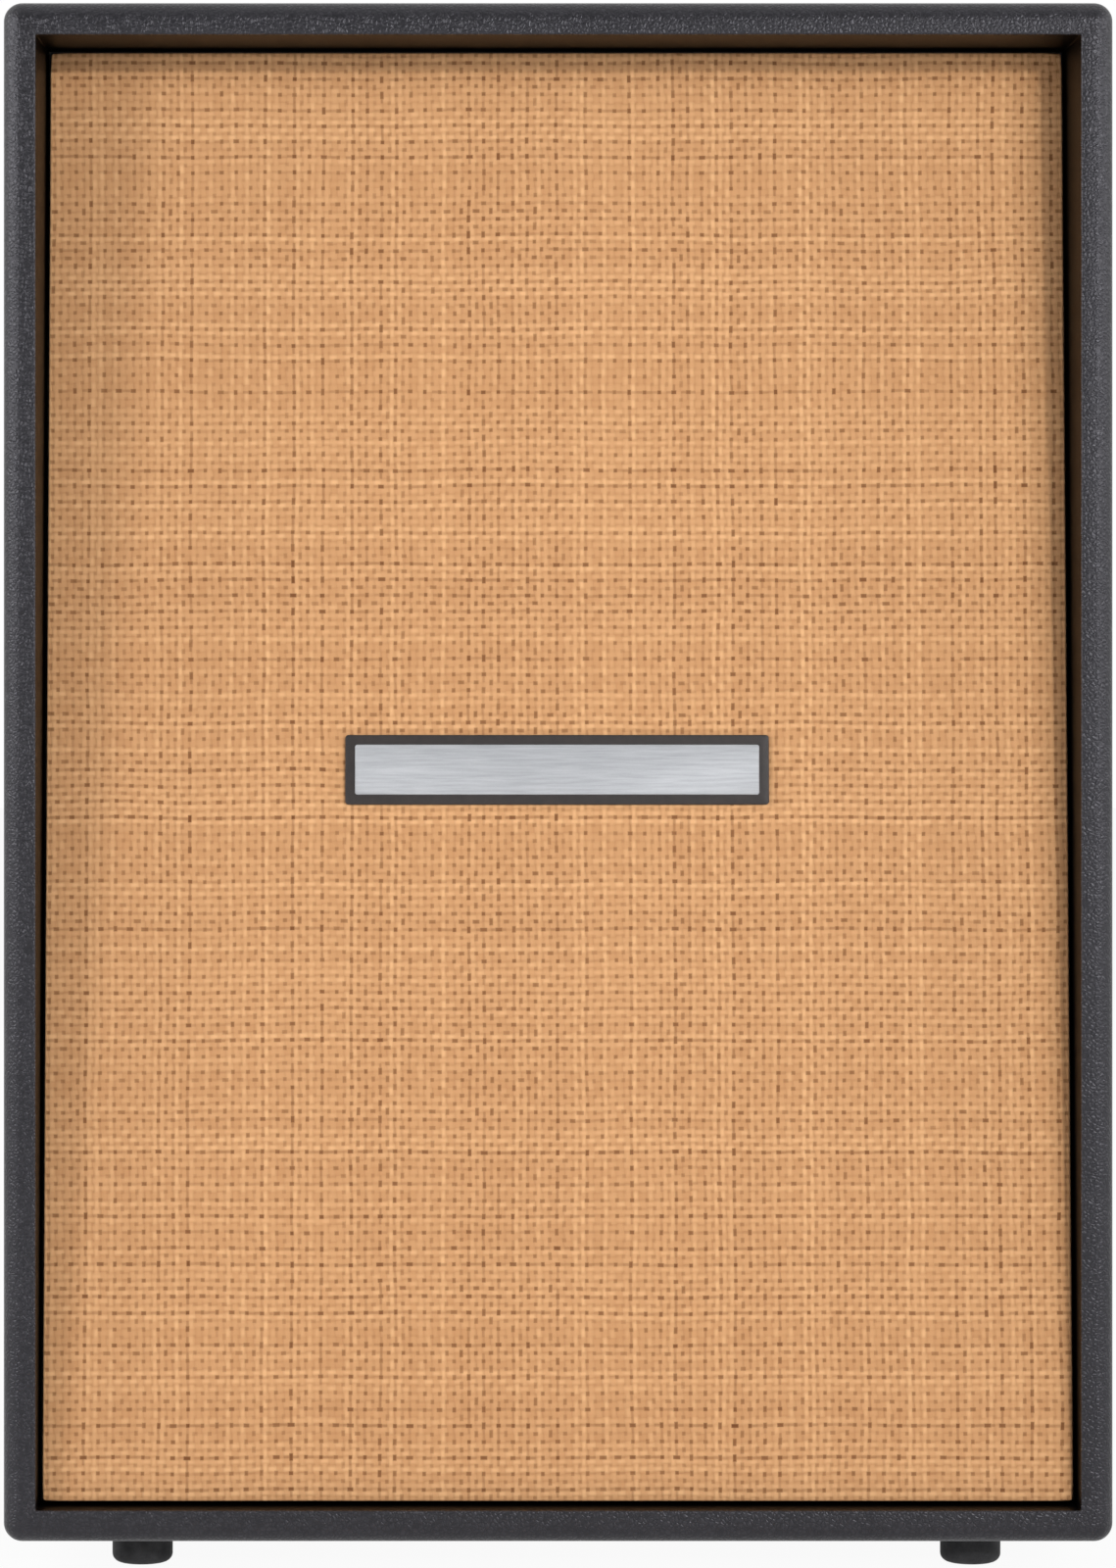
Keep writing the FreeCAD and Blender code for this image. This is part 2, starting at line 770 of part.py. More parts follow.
def chassis():
    """Pressed basket: flange, collar, sloping wall with windows, ledge for the spider, and rear plate."""
    collar, ledge = wall_line()
    front = [(driver_radius, 0), (flange_inner, 0), collar, ledge, (ledge_inner, ledge_depth),
             (ledge_inner - throat_taper, basket_depth), (plate_hole, basket_depth)]
    basket = revolved(sheet_outline(front, chassis_sheet))
    low_z = collar_depth + window_front
    high_z = ledge_depth - window_rear
    cuts = flange_holes(-overrun)
    for index in range(window_count):
        corners = []
        for radius, side in ((ledge_inner, -1), (driver_radius, -1), (driver_radius, 1), (ledge_inner, 1)):
            angle = 2 * math.pi * (index + 1 / 2) / window_count + side * math.radians(window_angle / 2)
            corners.append(Vec(radius * math.cos(angle), radius * math.sin(angle), low_z))
        face = Part.Face(Part.makePolygon(corners + corners[:1]))
        cuts.append(face.extrude(Vec(0, 0, high_z - low_z)))
    return basket.cut(cuts)


def cone_level(radius):
    """Depth of the cone's front face at a radius."""
    return cone_front + (cone_radius - radius) * cone_slope


def cone():
    neck = cone_level(cone_neck)
    return revolved([(cone_neck, neck), (cone_radius, cone_front), (cone_radius, cone_front + cone_paper),
                     (cone_neck, neck + cone_paper)])


def surround():
    return wavy_ring(cone_radius + glue_gap, flange_inner, flange_inner + surround_lip, surround_waves,
                     -suspension_cloth)


def dust_cap():
    """Domed cap on the cone."""
    rim = cone_level(dust_cap_radius) - dust_cap_thickness - glue_gap
    sphere = (dust_cap_radius ** 2 + dust_cap_height ** 2) / (2 * dust_cap_height)
    half_angle = math.asin(dust_cap_radius / sphere) / 2
    shoulder = sphere * math.sin(half_angle)
    crest = rim - dust_cap_height
    shoulder_level = crest + sphere * (1 - math.cos(half_angle))
    edges = []
    for shift in (0, dust_cap_thickness):
        edges.append(Part.Arc(Vec(0, 0, crest + shift), Vec(shoulder, 0, shoulder_level + shift),
                              Vec(dust_cap_radius, 0, rim + shift)).toShape())
    for radius, level in ((0, crest), (dust_cap_radius, rim)):
        edges.append(Part.makeLine(Vec(radius, 0, level), Vec(radius, 0, level + dust_cap_thickness)))
    face = Part.Face(Part.Wire(Part.__sortEdges__(edges)))
    return face.revolve(Vec(), Vec(0, 0, 1), 360)


def voice_coil():
    """Former with the winding centred in the top plate's gap."""
    low = cone_level(cone_neck) - former_tip
    gap_middle = motor_front + pole_plate_thickness / 2
    wound_low = gap_middle - winding_length / 2
    wound_high = gap_middle + winding_length / 2
    return revolved([(coil_radius - former_wall, low), (coil_radius, low), (coil_radius, wound_low),
                     (coil_radius + winding, wound_low), (coil_radius + winding, wound_high),
                     (coil_radius - former_wall, wound_high)])


def spider():
    return wavy_ring(cone_neck, spider_radius - spider_lip, spider_radius, spider_waves,
                     ledge_depth - suspension_cloth)


def top_plate():
    return tube(top_plate_hole, top_plate_radius, motor_front, motor_front + pole_plate_thickness)


def magnet():
    low = motor_front + pole_plate_thickness
    high = yoke_front
    rim = magnet_radius - plate_chamfer
    return revolved([(magnet_hole, low), (rim, low), (magnet_radius, low + plate_chamfer),
                     (magnet_radius, high - plate_chamfer), (rim, high), (magnet_hole, high)])


def yoke():
    """Rear plate with the pole that stands inside the coil."""
    rear = yoke_front + pole_plate_thickness
    return revolved([(0, motor_front), (pole_radius, motor_front), (pole_radius, yoke_front),
                     (top_plate_radius, yoke_front), (top_plate_radius, rear - plate_chamfer),
                     (top_plate_radius - plate_chamfer, rear), (0, rear)])


def terminal_frame():
    """Place on the outside of the sloping wall, with its own Z axis square to the wall."""
    (collar_r, collar_z), (ledge_r, ledge_z) = wall_line()
    length = math.hypot(collar_r - ledge_r, ledge_z - collar_z)
    out = Vec((ledge_z - collar_z) / length, 0, (collar_r - ledge_r) / length)
    along = Vec(0, 1, 0).cross(out)
    middle = Vec((collar_r + ledge_r) / 2, 0, (collar_z + ledge_z) / 2)
    return Place(middle.add(out * (chassis_sheet + glue_gap)), Turn(along, Vec(0, 1, 0), out, "ZYX"))


def tab(side, fit):
    half_x = tab_width / 2 + fit
    half_y = tab_thickness / 2 + fit
    y = side * tab_pitch / 2
    high_z = terminal_thickness + tab_height + fit
    return box(Vec(-half_x, y - half_y, terminal_thickness), Vec(half_x, y + half_y, high_z))


def terminal_strip():
    """Insulating board on the chassis with two push-on tabs."""
    strip = box(Vec(-terminal_length / 2, -terminal_width / 2, 0),
                Vec(terminal_length / 2, terminal_width / 2, terminal_thickness))
    return [placed(piece, terminal_frame()) for piece in (strip, tab(-1, 0), tab(1, 0))]


def tinsel_leads(name):
    """Flexible leads from the ends of the terminal board, through the windows beside it, to the cone."""
    leads = []
    frame = terminal_frame()
    cone_r = lead_cone_share * cone_radius
    cone_back = cone_level(cone_r) + cone_paper + lead_radius + lead_gap
    slope = math.atan(cone_slope)
    for side in (-1, 1):
        start_y = side * (terminal_width / 2 + lead_gap)
        out_y = side * (terminal_width / 2 + lead_bow)
        start = frame.multVec(Vec(0, start_y, terminal_thickness / 2))
        bow = frame.multVec(Vec(0, out_y, terminal_thickness / 2 + lead_rise))
        turn = math.atan2(out_y, cone_r)
        end = Vec(cone_r * math.cos(turn), cone_r * math.sin(turn), cone_back)
        away = Vec(math.sin(slope) * math.cos(turn), math.sin(slope) * math.sin(turn), math.cos(slope))
        approach = end.add(away * lead_bow)
        leads.append(cable(name + "_lead", [start, bow, approach, end], lead_radius))
    return leads


def speaker_screws():
    length = baffle_thickness + gasket_thickness + chassis_sheet
    screw = Part.makeCylinder(bolt_radius, length)
    head = Part.makeCylinder(pan_head_radius, pan_head_height, Vec(0, 0, -pan_head_height))
    rims = [edge for edge in head.Edges if abs(edge.CenterOfMass.z + pan_head_height) < pick_tolerance]
    head = head.makeFillet(pan_head_round, rims)
    return copies(screw.fuse(head).removeSplitter().cut(cross_recess(-pan_head_height)), bolt_places())


def speaker_tee_nuts():
    """Nuts pressed into the front of the baffle."""
    depth = baffle_thickness + gasket_thickness + chassis_sheet
    bore = bolt_radius + screw_fit
    nut = revolved([(bore, depth - tee_barrel_length), (tee_barrel_radius, depth - tee_barrel_length),
                    (tee_barrel_radius, depth), (tee_flange_radius, depth),
                    (tee_flange_radius, depth + tee_flange_thickness), (bore, depth + tee_flange_thickness)])
    return copies(nut, bolt_places())


# Jack field

def jack_places():
    return [Vec(-jack_pitch / 2, back_rear_y, jack_z), Vec(jack_pitch / 2, back_rear_y, jack_z)]


def jack_plate():
    half_x = jack_plate_width / 2
    half_z = jack_plate_height / 2
    plate = slab(Vec(-half_x, back_rear_y, jack_z - half_z),
                 Vec(half_x, back_rear_y + jack_plate_thickness, jack_z + half_z), jack_plate_corner,
                 Vec(0, 1, 0))
    cuts = copies(sunk_hole(jack_screw_length, screw_fit), jack_screw_places())
    for point in jack_places():
        cuts.append(Part.makeCylinder(bushing_radius + bushing_fit, jack_plate_thickness + 2 * overrun,
                                      point.sub(Vec(0, overrun, 0)), Vec(0, 1, 0)))
    return plate.cut(cuts)


def jack(point):
    """Jack socket: moulded body behind the plate, threaded bushing through it, and two solder lugs."""
    half_x = jack_body_width / 2
    half_z = jack_body_height / 2
    body = box(point.add(Vec(-half_x, -jack_body_depth, -half_z)), point.add(Vec(half_x, 0, half_z)))
    bushing = Part.makeCylinder(bushing_radius, bushing_reach, point, Vec(0, 1, 0))
    lugs = []
    for side in (-1, 1):
        z = side * lug_pitch / 2
        lugs.append(box(point.add(Vec(-lug_width / 2, -jack_body_depth - lug_length, z - lug_thickness / 2)),
                        point.add(Vec(lug_width / 2, -jack_body_depth, z + lug_thickness / 2))))
    bore = Part.makeCylinder(jack_bore_radius, jack_bore_depth + bushing_reach,
                             point.sub(Vec(0, jack_bore_depth, 0)), Vec(0, 1, 0))
    return body.fuse([bushing] + lugs).removeSplitter().cut(bore)


def jack_nuts():
    """A washer and a hexagon nut on each bushing."""
    pieces = []
    corner = nut_flats / math.sqrt(3)
    hole = Part.makeCylinder(bushing_radius + bushing_fit, jack_body_depth, Vec(0, 0, -overrun))
    corners = [Vec(corner * math.cos(math.radians(60 * index)), corner * math.sin(math.radians(60 * index)),
                   washer_thickness) for index in range(6)]
    nut = Part.Face(Part.makePolygon(corners + corners[:1])).extrude(Vec(0, 0, nut_thickness)).cut(hole)
    washer = Part.makeCylinder(washer_radius, washer_thickness).cut(hole)
    for point in jack_places():
        seat = aim(point.add(Vec(0, jack_plate_thickness, 0)), Vec(0, 1, 0))
        pieces += copies(washer, [seat]) + copies(nut, [seat])
    return pieces


def jack_link_wires():
    """Two wires that join the lugs of one jack to those of the other."""
    left, right = jack_places()
    wires = []
    for side in (-1, 1):
        z = jack_z + side * lug_pitch / 2 + side * (lug_thickness / 2 + link_wire_radius)
        y = lug_end_y + lug_length / 2
        bent_y = y - link_wire_drop
        bent_z = z + side * link_wire_drop
        route = [Vec(left.x, y, z), Vec(left.x, bent_y, z), Vec(left.x / 2, bent_y, bent_z),
                 Vec(right.x / 2, bent_y, bent_z), Vec(right.x, bent_y, z), Vec(right.x, y, z)]
        wires.append(cable("jack_link_wire", route, link_wire_radius))
    return wires


# Speaker cables

def cable_boot():
    """Moulded connector that covers both tabs of a terminal board, on the board's own axes."""
    half_x = tab_width / 2 + boot_margin
    half_y = tab_pitch / 2 + tab_thickness / 2 + boot_margin
    block = box(Vec(-half_x, -half_y, terminal_thickness + boot_fit),
                Vec(half_x, half_y, terminal_thickness + boot_fit + boot_length))
    return round_edges(block, boot_margin, Vec(0, 0, 1)).cut([tab(-1, boot_fit), tab(1, boot_fit)])


def jack_boot(point):
    """Moulded sleeve over the lugs of a jack."""
    half_x = lug_width / 2 + boot_margin
    half_z = lug_pitch / 2 - lug_thickness / 2 - boot_fit
    return box(Vec(point.x - half_x, lug_end_y, jack_z - half_z),
               Vec(point.x + half_x, jack_rear_y - boot_fit, jack_z + half_z))


def clip_places():
    """Cable clips on the front faces of the two cross rails, near the left side."""
    x = batten + clip_inset - inner_width / 2
    y = batten_front_y - clip_wall - cable_radius
    return [Vec(x, y, lower_seam_z), Vec(x, y, upper_seam_z)]


def boot_exit(place):
    """Outer end of a terminal boot, and the direction in which the cable leaves it."""
    frame = place.multiply(terminal_frame())
    end = frame.multVec(Vec(0, 0, terminal_thickness + boot_fit + boot_length))
    return end, frame.Rotation.multVec(Vec(0, 0, 1))


def lower_speaker_cable():
    jack_end = jack_places()[1]
    place = driver_place(-driver_level, 0)
    end, out = boot_exit(place)
    start = Vec(jack_end.x, lug_end_y, jack_z)
    route = [start, start.add(Vec(6, -30, -3)), start.add(Vec(42, -47, 1)), start.add(Vec(90, -59, 15)),
             end.add(Vec(33, 63, -24)), end.add(out * 40), end]
    line = cable("lower_speaker_cable", route, cable_radius)
    return [line, placed(cable_boot(), place.multiply(terminal_frame())), jack_boot(jack_end)]


def upper_speaker_cable():
    jack_end = jack_places()[0]
    place = driver_place(driver_level, 180)
    end, out = boot_exit(place)
    start = Vec(jack_end.x, lug_end_y, jack_z)
    low_clip, high_clip = clip_places()
    route = [start, start.add(Vec(-6, -30, -3)), start.add(Vec(-52, -52, -6)), start.add(Vec(-112, -40, 8)),
             low_clip.add(Vec(0, 0, -60)), high_clip.add(Vec(0, 0, 44)), high_clip.add(Vec(10, -24, 76)),
             end.add(Vec(-43, 52, 19)), end.add(out * 30), end]
    line = cable("upper_speaker_cable", route, cable_radius)
    return [line, placed(cable_boot(), place.multiply(terminal_frame())), jack_boot(jack_end)]


def cable_clips():
    clips = []
    half_x = cable_radius + clip_wall
    for point in clip_places():
        block = box(Vec(point.x - half_x, point.y - cable_radius - clip_wall, point.z - clip_length / 2),
                    Vec(point.x + half_x, batten_front_y, point.z + clip_length / 2))
        hole = Part.makeCylinder(cable_radius + screw_fit, clip_length + 2 * overrun,
                                 Vec(point.x, point.y, point.z - clip_length / 2 - overrun))
        clips.append(round_edges(block, clip_wall / 2, Vec(0, 0, 1)).cut(hole))
    return clips


# Feet

def rubber_feet():
    """Round feet with a deep bore for the screw."""
    foot = Part.makeCylinder(foot_diameter / 2, foot_height)
    rims = [edge for edge in foot.Edges if abs(edge.CenterOfMass.z) < pick_tolerance]
    foot = foot.makeFillet(foot_edge, rims)
    bore = Part.makeCylinder(foot_bore_radius, foot_height - foot_seat + overrun, Vec(0, 0, -overrun))
    hole = Part.makeCylinder(foot_screw_radius + screw_fit, foot_height + overrun)
    return copies(foot.cut([bore, hole]), foot_places())


def foot_screws():
    screw = pan_screw(foot_screw_radius, foot_screw_length, pan_head_radius + screw_fit)
    return copies(placed(screw, Place(Vec(0, 0, foot_height - foot_seat), Turn())), foot_places())


# Handles

def handle_cup(side):
    """Moulded cup with a flange that lies on the covering."""
    half_y = handle_mouth_length / 2
    half_z = handle_mouth_height / 2
    flange = slab(Vec(cabinet_width / 2, handle_y - half_y - handle_flange_ends,
                      handle_z - half_z - handle_flange_sides),
                  Vec(handle_out_x, handle_y + half_y + handle_flange_ends,
                      handle_z + half_z + handle_flange_sides), handle_flange_corner, Vec(1, 0, 0))
    rims = [edge for edge in flange.Edges if abs(edge.BoundBox.XMin - handle_out_x) < pick_tolerance]
    flange = flange.makeFillet(handle_flange_edge, rims)
    cavity = slab(Vec(handle_out_x - handle_depth, handle_y - half_y, handle_z - half_z),
                  Vec(handle_out_x + overrun, handle_y + half_y, handle_z + half_z), handle_mouth_corner,
                  Vec(1, 0, 0))
    cup = flange.fuse(cup_block(1, 0, handle_depth + handle_wall).common(
        box(Vec(0, -reach, 0), Vec(cabinet_width / 2, reach, reach)))).removeSplitter().cut(cavity)
    cup = cup if side > 0 else cup.mirror(Vec(), Vec(1, 0, 0))
    return cup.cut(copies(sunk_hole(handle_screw_length, screw_fit), handle_screw_places(side)))


def handle_grip(side):
    """Round bar from one end wall of the cup to the other."""
    return Part.makeCylinder(grip_radius, handle_mouth_length,
                             Vec(side * grip_x, handle_y - handle_mouth_length / 2, grip_z), Vec(0, 1, 0))


def plate_screws():
    """Countersunk screws of the handles and of the jack plate."""
    screws = copies(sunk_screw(jack_screw_length), jack_screw_places())
    for side in (-1, 1):
        screws += copies(sunk_screw(handle_screw_length), handle_screw_places(side))
    return screws


def driver_nodes(prefix, level, turn):
    place = driver_place(level, turn)
    pieces = {"gasket": [gasket()], "chassis": [chassis()], "cone": [cone()], "surround": [surround()],
              "dust_cap": [dust_cap()], "voice_coil": [voice_coil()], "spider": [spider()],
              "top_plate": [top_plate()], "magnet": [magnet()], "yoke": [yoke()],
              "terminal_strip": terminal_strip(), "tinsel_leads": tinsel_leads(prefix)}
    return {prefix + "_" + name: copies(Part.makeCompound(solids), [place])
            for name, solids in pieces.items()}


def all_nodes():
    panel_screw = pan_screw(screw_radius, back_screw_length, pan_head_radius)
    nodes = {
        "left_side_panel": [side_panel(-1)],
        "right_side_panel": [side_panel(1)],
        "top_panel": [level_panel(top_z - wall)],
        "bottom_panel": [level_panel(base_z)],
        "vinyl_covering": [vinyl_covering()],
        "baffle_board": [baffle_board()],
        "baffle_battens": baffle_battens(),
        "baffle_screws": baffle_screws(),
        "rear_battens": rear_battens(),
        "upper_back_panel": [back_panel(upper_panel_z, fixed_panel_height, fixed_screw_places())],
        "lower_back_panel": [lower_back_panel()],
        "centre_back_panel": [back_panel(centre_panel_z, centre_panel_height, centre_screw_places())],
        "fixed_panel_screws": copies(panel_screw, fixed_screw_places()),
        "centre_panel_screws": copies(panel_screw, centre_screw_places()),
        "grille_frame": [grille_frame()],
        "grille_cloth": [grille_cloth()],
        "grille_hook_pads": pads(cloth_thickness + frame_thickness),
        "grille_loop_pads": pads(cloth_thickness + frame_thickness + pad_thickness),
        "badge_plate": [badge_plate()],
        "speaker_screws": speaker_screws(),
        "speaker_tee_nuts": speaker_tee_nuts(),
        "jack_plate": [jack_plate()],
        "link_jack": [jack(jack_places()[0])],
        "input_jack": [jack(jack_places()[1])],
        "jack_nuts": jack_nuts(),
        "jack_link_wires": jack_link_wires(),
        "plate_screws": plate_screws(),
        "lower_speaker_cable": lower_speaker_cable(),
        "upper_speaker_cable": upper_speaker_cable(),
        "cable_clips": cable_clips(),
        "rubber_feet": rubber_feet(),
        "foot_screws": foot_screws(),
        "left_handle_cup": [handle_cup(-1)],
        "right_handle_cup": [handle_cup(1)],
        "left_handle_grip": [handle_grip(-1)],
        "right_handle_grip": [handle_grip(1)],
    }
    nodes.update(driver_nodes("lower", -driver_level, 0))
    nodes.update(driver_nodes("upper", driver_level, 180))
    return nodes


def main():
    os.makedirs("parts", exist_ok=True)
    for name, solids in all_nodes().items():
        shape = solids[0] if len(solids) == 1 else Part.makeCompound(solids)
        shape.exportStep("parts/" + name + ".step")
        print(name, len(shape.Solids), "solids", round(shape.Volume / 1000, 2), "cm3", shape.isValid())


if __name__ == "__main__":
    main()
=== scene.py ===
import json
import math

import bmesh
import bpy
import numpy as np
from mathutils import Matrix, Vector

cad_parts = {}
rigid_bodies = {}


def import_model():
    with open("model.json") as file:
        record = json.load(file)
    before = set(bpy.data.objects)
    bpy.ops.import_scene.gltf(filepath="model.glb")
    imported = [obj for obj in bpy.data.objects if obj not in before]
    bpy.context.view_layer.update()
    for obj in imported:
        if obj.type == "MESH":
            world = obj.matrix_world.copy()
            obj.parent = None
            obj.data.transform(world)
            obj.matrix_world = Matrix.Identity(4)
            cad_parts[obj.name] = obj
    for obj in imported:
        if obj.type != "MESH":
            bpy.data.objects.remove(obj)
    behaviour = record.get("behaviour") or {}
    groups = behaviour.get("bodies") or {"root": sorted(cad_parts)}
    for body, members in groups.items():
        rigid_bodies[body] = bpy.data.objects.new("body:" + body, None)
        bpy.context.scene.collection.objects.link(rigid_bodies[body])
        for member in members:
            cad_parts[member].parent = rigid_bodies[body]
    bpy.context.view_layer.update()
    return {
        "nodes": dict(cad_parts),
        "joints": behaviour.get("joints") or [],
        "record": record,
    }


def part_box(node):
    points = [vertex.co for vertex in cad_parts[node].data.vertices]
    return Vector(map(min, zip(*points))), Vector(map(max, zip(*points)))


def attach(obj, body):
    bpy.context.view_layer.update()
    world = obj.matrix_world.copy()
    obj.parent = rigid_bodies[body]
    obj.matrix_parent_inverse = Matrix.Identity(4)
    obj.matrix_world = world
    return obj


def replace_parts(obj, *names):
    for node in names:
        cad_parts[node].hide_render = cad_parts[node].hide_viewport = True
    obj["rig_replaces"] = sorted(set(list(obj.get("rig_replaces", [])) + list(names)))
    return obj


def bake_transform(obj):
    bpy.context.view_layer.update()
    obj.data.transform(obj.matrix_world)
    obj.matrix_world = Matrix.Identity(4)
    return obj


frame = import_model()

scene = bpy.context.scene

# The grille, the baffle and the drivers share one slope, with axes across, inward and up it
outward = np.array(next(joint["axis"] for joint in frame["joints"] if joint["name"] == "lower_cone_travel"))
acrossAxis = np.array([1.0, 0.0, 0.0])
slopeAxes = np.stack([acrossAxis, -outward, np.cross(acrossAxis, -outward)])


def readPoints(items, field="co"):
    # a mesh's corner points, or the centres of its faces, as rows of x, y, z
    points = np.empty(3 * len(items))
    items.foreach_get(field, points)
    return points.reshape(-1, 3)


def nodePoints(node):
    return readPoints(frame["nodes"][node].data.vertices)


def boxCorners(node):
    # lowest and highest corner of a solid
    return [np.array(corner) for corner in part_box(node)]


def slopeBox(node):
    # the same, measured along the slope's axes
    points = nodePoints(node) @ slopeAxes.T
    return points.min(0), points.max(0)


# Mesh making

def roundedLoops(rows, cornerSteps=8, wideStops=(0.0,), highStops=(0.0,)):
    # each row is half width, half height, corner radius and depth: a rounded rectangle at that depth, of
    # quarter circles about four corner centres, with stops on the straight sides as shares of their halves
    wide, high, radius, depth = np.asarray(rows, float).T[:, :, None]
    straightX, straightY = wide - radius, high - radius
    stopsX, stopsY = np.asarray(wideStops), np.asarray(highStops)
    sides = [(straightX * stopsX, -high + 0 * stopsX), (wide + 0 * stopsY, straightY * stopsY),
             (straightX * stopsX[::-1], high + 0 * stopsX), (-wide + 0 * stopsY, straightY * stopsY[::-1])]
    quarter = np.linspace(-math.pi / 2, 0, cornerSteps + 1)
    parts = []
    for turn, (signX, signY) in enumerate(((1, -1), (1, 1), (-1, 1), (-1, -1))):
        angle = quarter + turn * math.pi / 2
        corner = (signX * straightX + radius * np.cos(angle), signY * straightY + radius * np.sin(angle))
        parts += [np.stack(sides[turn]), np.stack(corner)]
    loop = np.concatenate(parts, axis=-1)
    return np.stack([loop[0], loop[1], np.broadcast_to(depth, loop[0].shape)], axis=-1)


def turnedRings(profile, steps):
    # each profile point is radius and height: a circle of that radius at that height, in equal steps
    radius, height = np.asarray(profile, float).T[:, :, None]
    angle = np.linspace(0, 2 * math.pi, steps, endpoint=False)
    return np.stack([radius * np.cos(angle), radius * np.sin(angle), height + 0 * angle], axis=-1)


def uprighted(points, x=0.0, z=0.0):
    # a flat drawing set upright: its second axis becomes z and its depth y, about the given middle
    return np.stack([points[..., 0] + x, points[..., 2], points[..., 1] + z], axis=-1)


def arcPoints(centre, radius, start, end, steps):
    # points on a circle between two angles in degrees
    angle = np.radians(np.linspace(start, end, steps))
    return [(centre[0] + radius * math.cos(a), centre[1] + radius * math.sin(a)) for a in angle]


def runAlong(line):
    # the way along a line from its first point to each of its points
    return np.concatenate([[0], np.cumsum(np.hypot(*np.diff(line, axis=0).T))])


def gridPiece(name, grids, wrapRows=False, wrapColumns=True, caps=False, uv=None, drop=None, sharp=35):
    # four-sided faces between neighbouring rows and columns of points; a wrapped side joins its last line
    # to its first, caps close the first and last row, and drop takes out the faces whose middles it picks
    grids = grids if grids.ndim == 4 else grids[None]
    copies, rows, columns = grids.shape[:3]
    points = grids.reshape(-1, 3)
    index = np.arange(len(points)).reshape(copies, rows, columns)
    index = np.pad(index, ((0, 0), (0, int(wrapRows)), (0, int(wrapColumns))), mode="wrap")
    corners = [index[:, :-1, :-1], index[:, :-1, 1:], index[:, 1:, 1:], index[:, 1:, :-1]]
    quads = np.stack(corners, axis=-1).reshape(-1, 4)
    if drop is not None:
        quads = quads[~drop(points[quads].mean(1))]
    p0, p1, p2, p3 = points[quads].transpose(1, 0, 2)
    spread = (np.cross(p2 - p0, p3 - p1) * (points[quads].mean(1) - points.mean(0))).sum()
    order = 1 if spread > 0 else -1                  # faces look away from the middle of the piece
    faces = quads[:, ::order].tolist()
    if caps:
        faces += [end[::order].tolist() for end in index[:, 0, :columns][:, ::-1]]
        faces += [end[::order].tolist() for end in index[:, rows - 1, :columns]]
    mesh = bpy.data.meshes.new(name)
    mesh.from_pydata(points.tolist(), [], faces)
    if uv is not None:
        corners = [uv[:-1, :-1], uv[:-1, 1:], uv[1:, 1:], uv[1:, :-1]]
        loops = np.stack(corners, axis=2).reshape(-1, 4, 2)[:, ::order]
        mesh.uv_layers.new(name="flat").data.foreach_set("uv", loops.ravel())
    return linked(name, mesh, sharp)


def linked(name, mesh, sharp, mergeWithin=2e-6):
    # merges points that coincide, shades round stretches smooth and puts the mesh into the scene
    work = bmesh.new()
    work.from_mesh(mesh)
    bmesh.ops.remove_doubles(work, verts=work.verts, dist=mergeWithin)
    work.to_mesh(mesh)
    work.free()
    mesh.polygons.foreach_set("use_smooth", np.ones(len(mesh.polygons), bool))
    mesh.set_sharp_from_angle(angle=math.radians(sharp))
    piece = bpy.data.objects.new(name, mesh)
    scene.collection.objects.link(piece)
    return piece


def pieceName(node):
    # lower_dust_cap becomes lowerDustCap
    first, *rest = node.split("_")
    return first + "".join(word.capitalize() for word in rest)


def smoothCopy(node, sharp=32, digits=7):
    # a solid's own triangles with their shared corners merged, so that its round faces shade smooth
    source = frame["nodes"][node].data
    corners = np.empty(len(source.loops), int)
    source.loops.foreach_get("vertex_index", corners)
    points, back = np.unique(np.round(nodePoints(node), digits), axis=0, return_inverse=True)
    triangles = back.ravel()[corners].reshape(-1, 3)
    a, b, c = triangles.T
    mesh = bpy.data.meshes.new(pieceName(node))
    mesh.from_pydata(points.tolist(), [], triangles[(a != b) & (b != c) & (c != a)].tolist())
    return linked(pieceName(node), mesh, sharp)


def thicken(piece, thickness):
    # a wall behind the surface, along its normals
    wall = piece.modifiers.new("wall", "SOLIDIFY")
    wall.thickness = thickness
    wall.offset = -1


slotOf = {part["node"]: part["material_slot"] for part in frame["record"]["subparts"]}
bodyOf = {node: body for body, nodes in frame["record"]["behaviour"]["bodies"].items() for node in nodes}


def dress(piece, material, *nodes):
    # gives a piece its finish, stands it in for solids and lets it ride on their body
    piece.data.materials.clear()
    piece.data.materials.append(material)
    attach(piece, bodyOf[nodes[0]])
    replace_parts(piece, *nodes)


# Shader node helpers

def addNode(tree, kind, inputs=None, **settings):
    made = tree.nodes.new("ShaderNode" + kind)
    for name, value in settings.items():
        setattr(made, name, value)
    for key, value in (inputs or {}).items():
        plug(tree, value, made.inputs[key])
    return made


def plug(tree, value, socket):
    if isinstance(value, bpy.types.NodeSocket):
        tree.links.new(value, socket)
    else:
        socket.default_value = value


def calc(tree, operation, *values):
    made = tree.nodes.new("ShaderNodeMath")
    made.operation = operation
    for value, socket in zip(values, made.inputs):
        plug(tree, value, socket)
    return made.outputs[0]


def times(tree, *values):
    return calc(tree, "MULTIPLY", *values)


def timesPlus(tree, *values):
    return calc(tree, "MULTIPLY_ADD", *values)


def remap(tree, value, low, high, newLow=0.0, newHigh=1.0, kind="LINEAR"):
    inputs = {"Value": value, "From Min": low, "From Max": high, "To Min": newLow, "To Max": newHigh}
    return addNode(tree, "MapRange", inputs, interpolation_type=kind).outputs["Result"]


def mixColour(tree, factor, first, second):
    made = addNode(tree, "Mix", data_type="RGBA")
    for value, place in ((factor, 0), (first, 6), (second, 7)):
        plug(tree, value, made.inputs[place])
    return made.outputs[2]


def noise(tree, vector, scale, detail=2.0, roughness=0.5):
    inputs = {"Vector": vector, "Scale": scale, "Detail": detail, "Roughness": roughness}
    return addNode(tree, "TexNoise", inputs).outputs["Fac"]


def scaled(tree, vector, factors):
    return addNode(tree, "VectorMath", {0: vector, 1: factors}, operation="MULTIPLY").outputs[0]


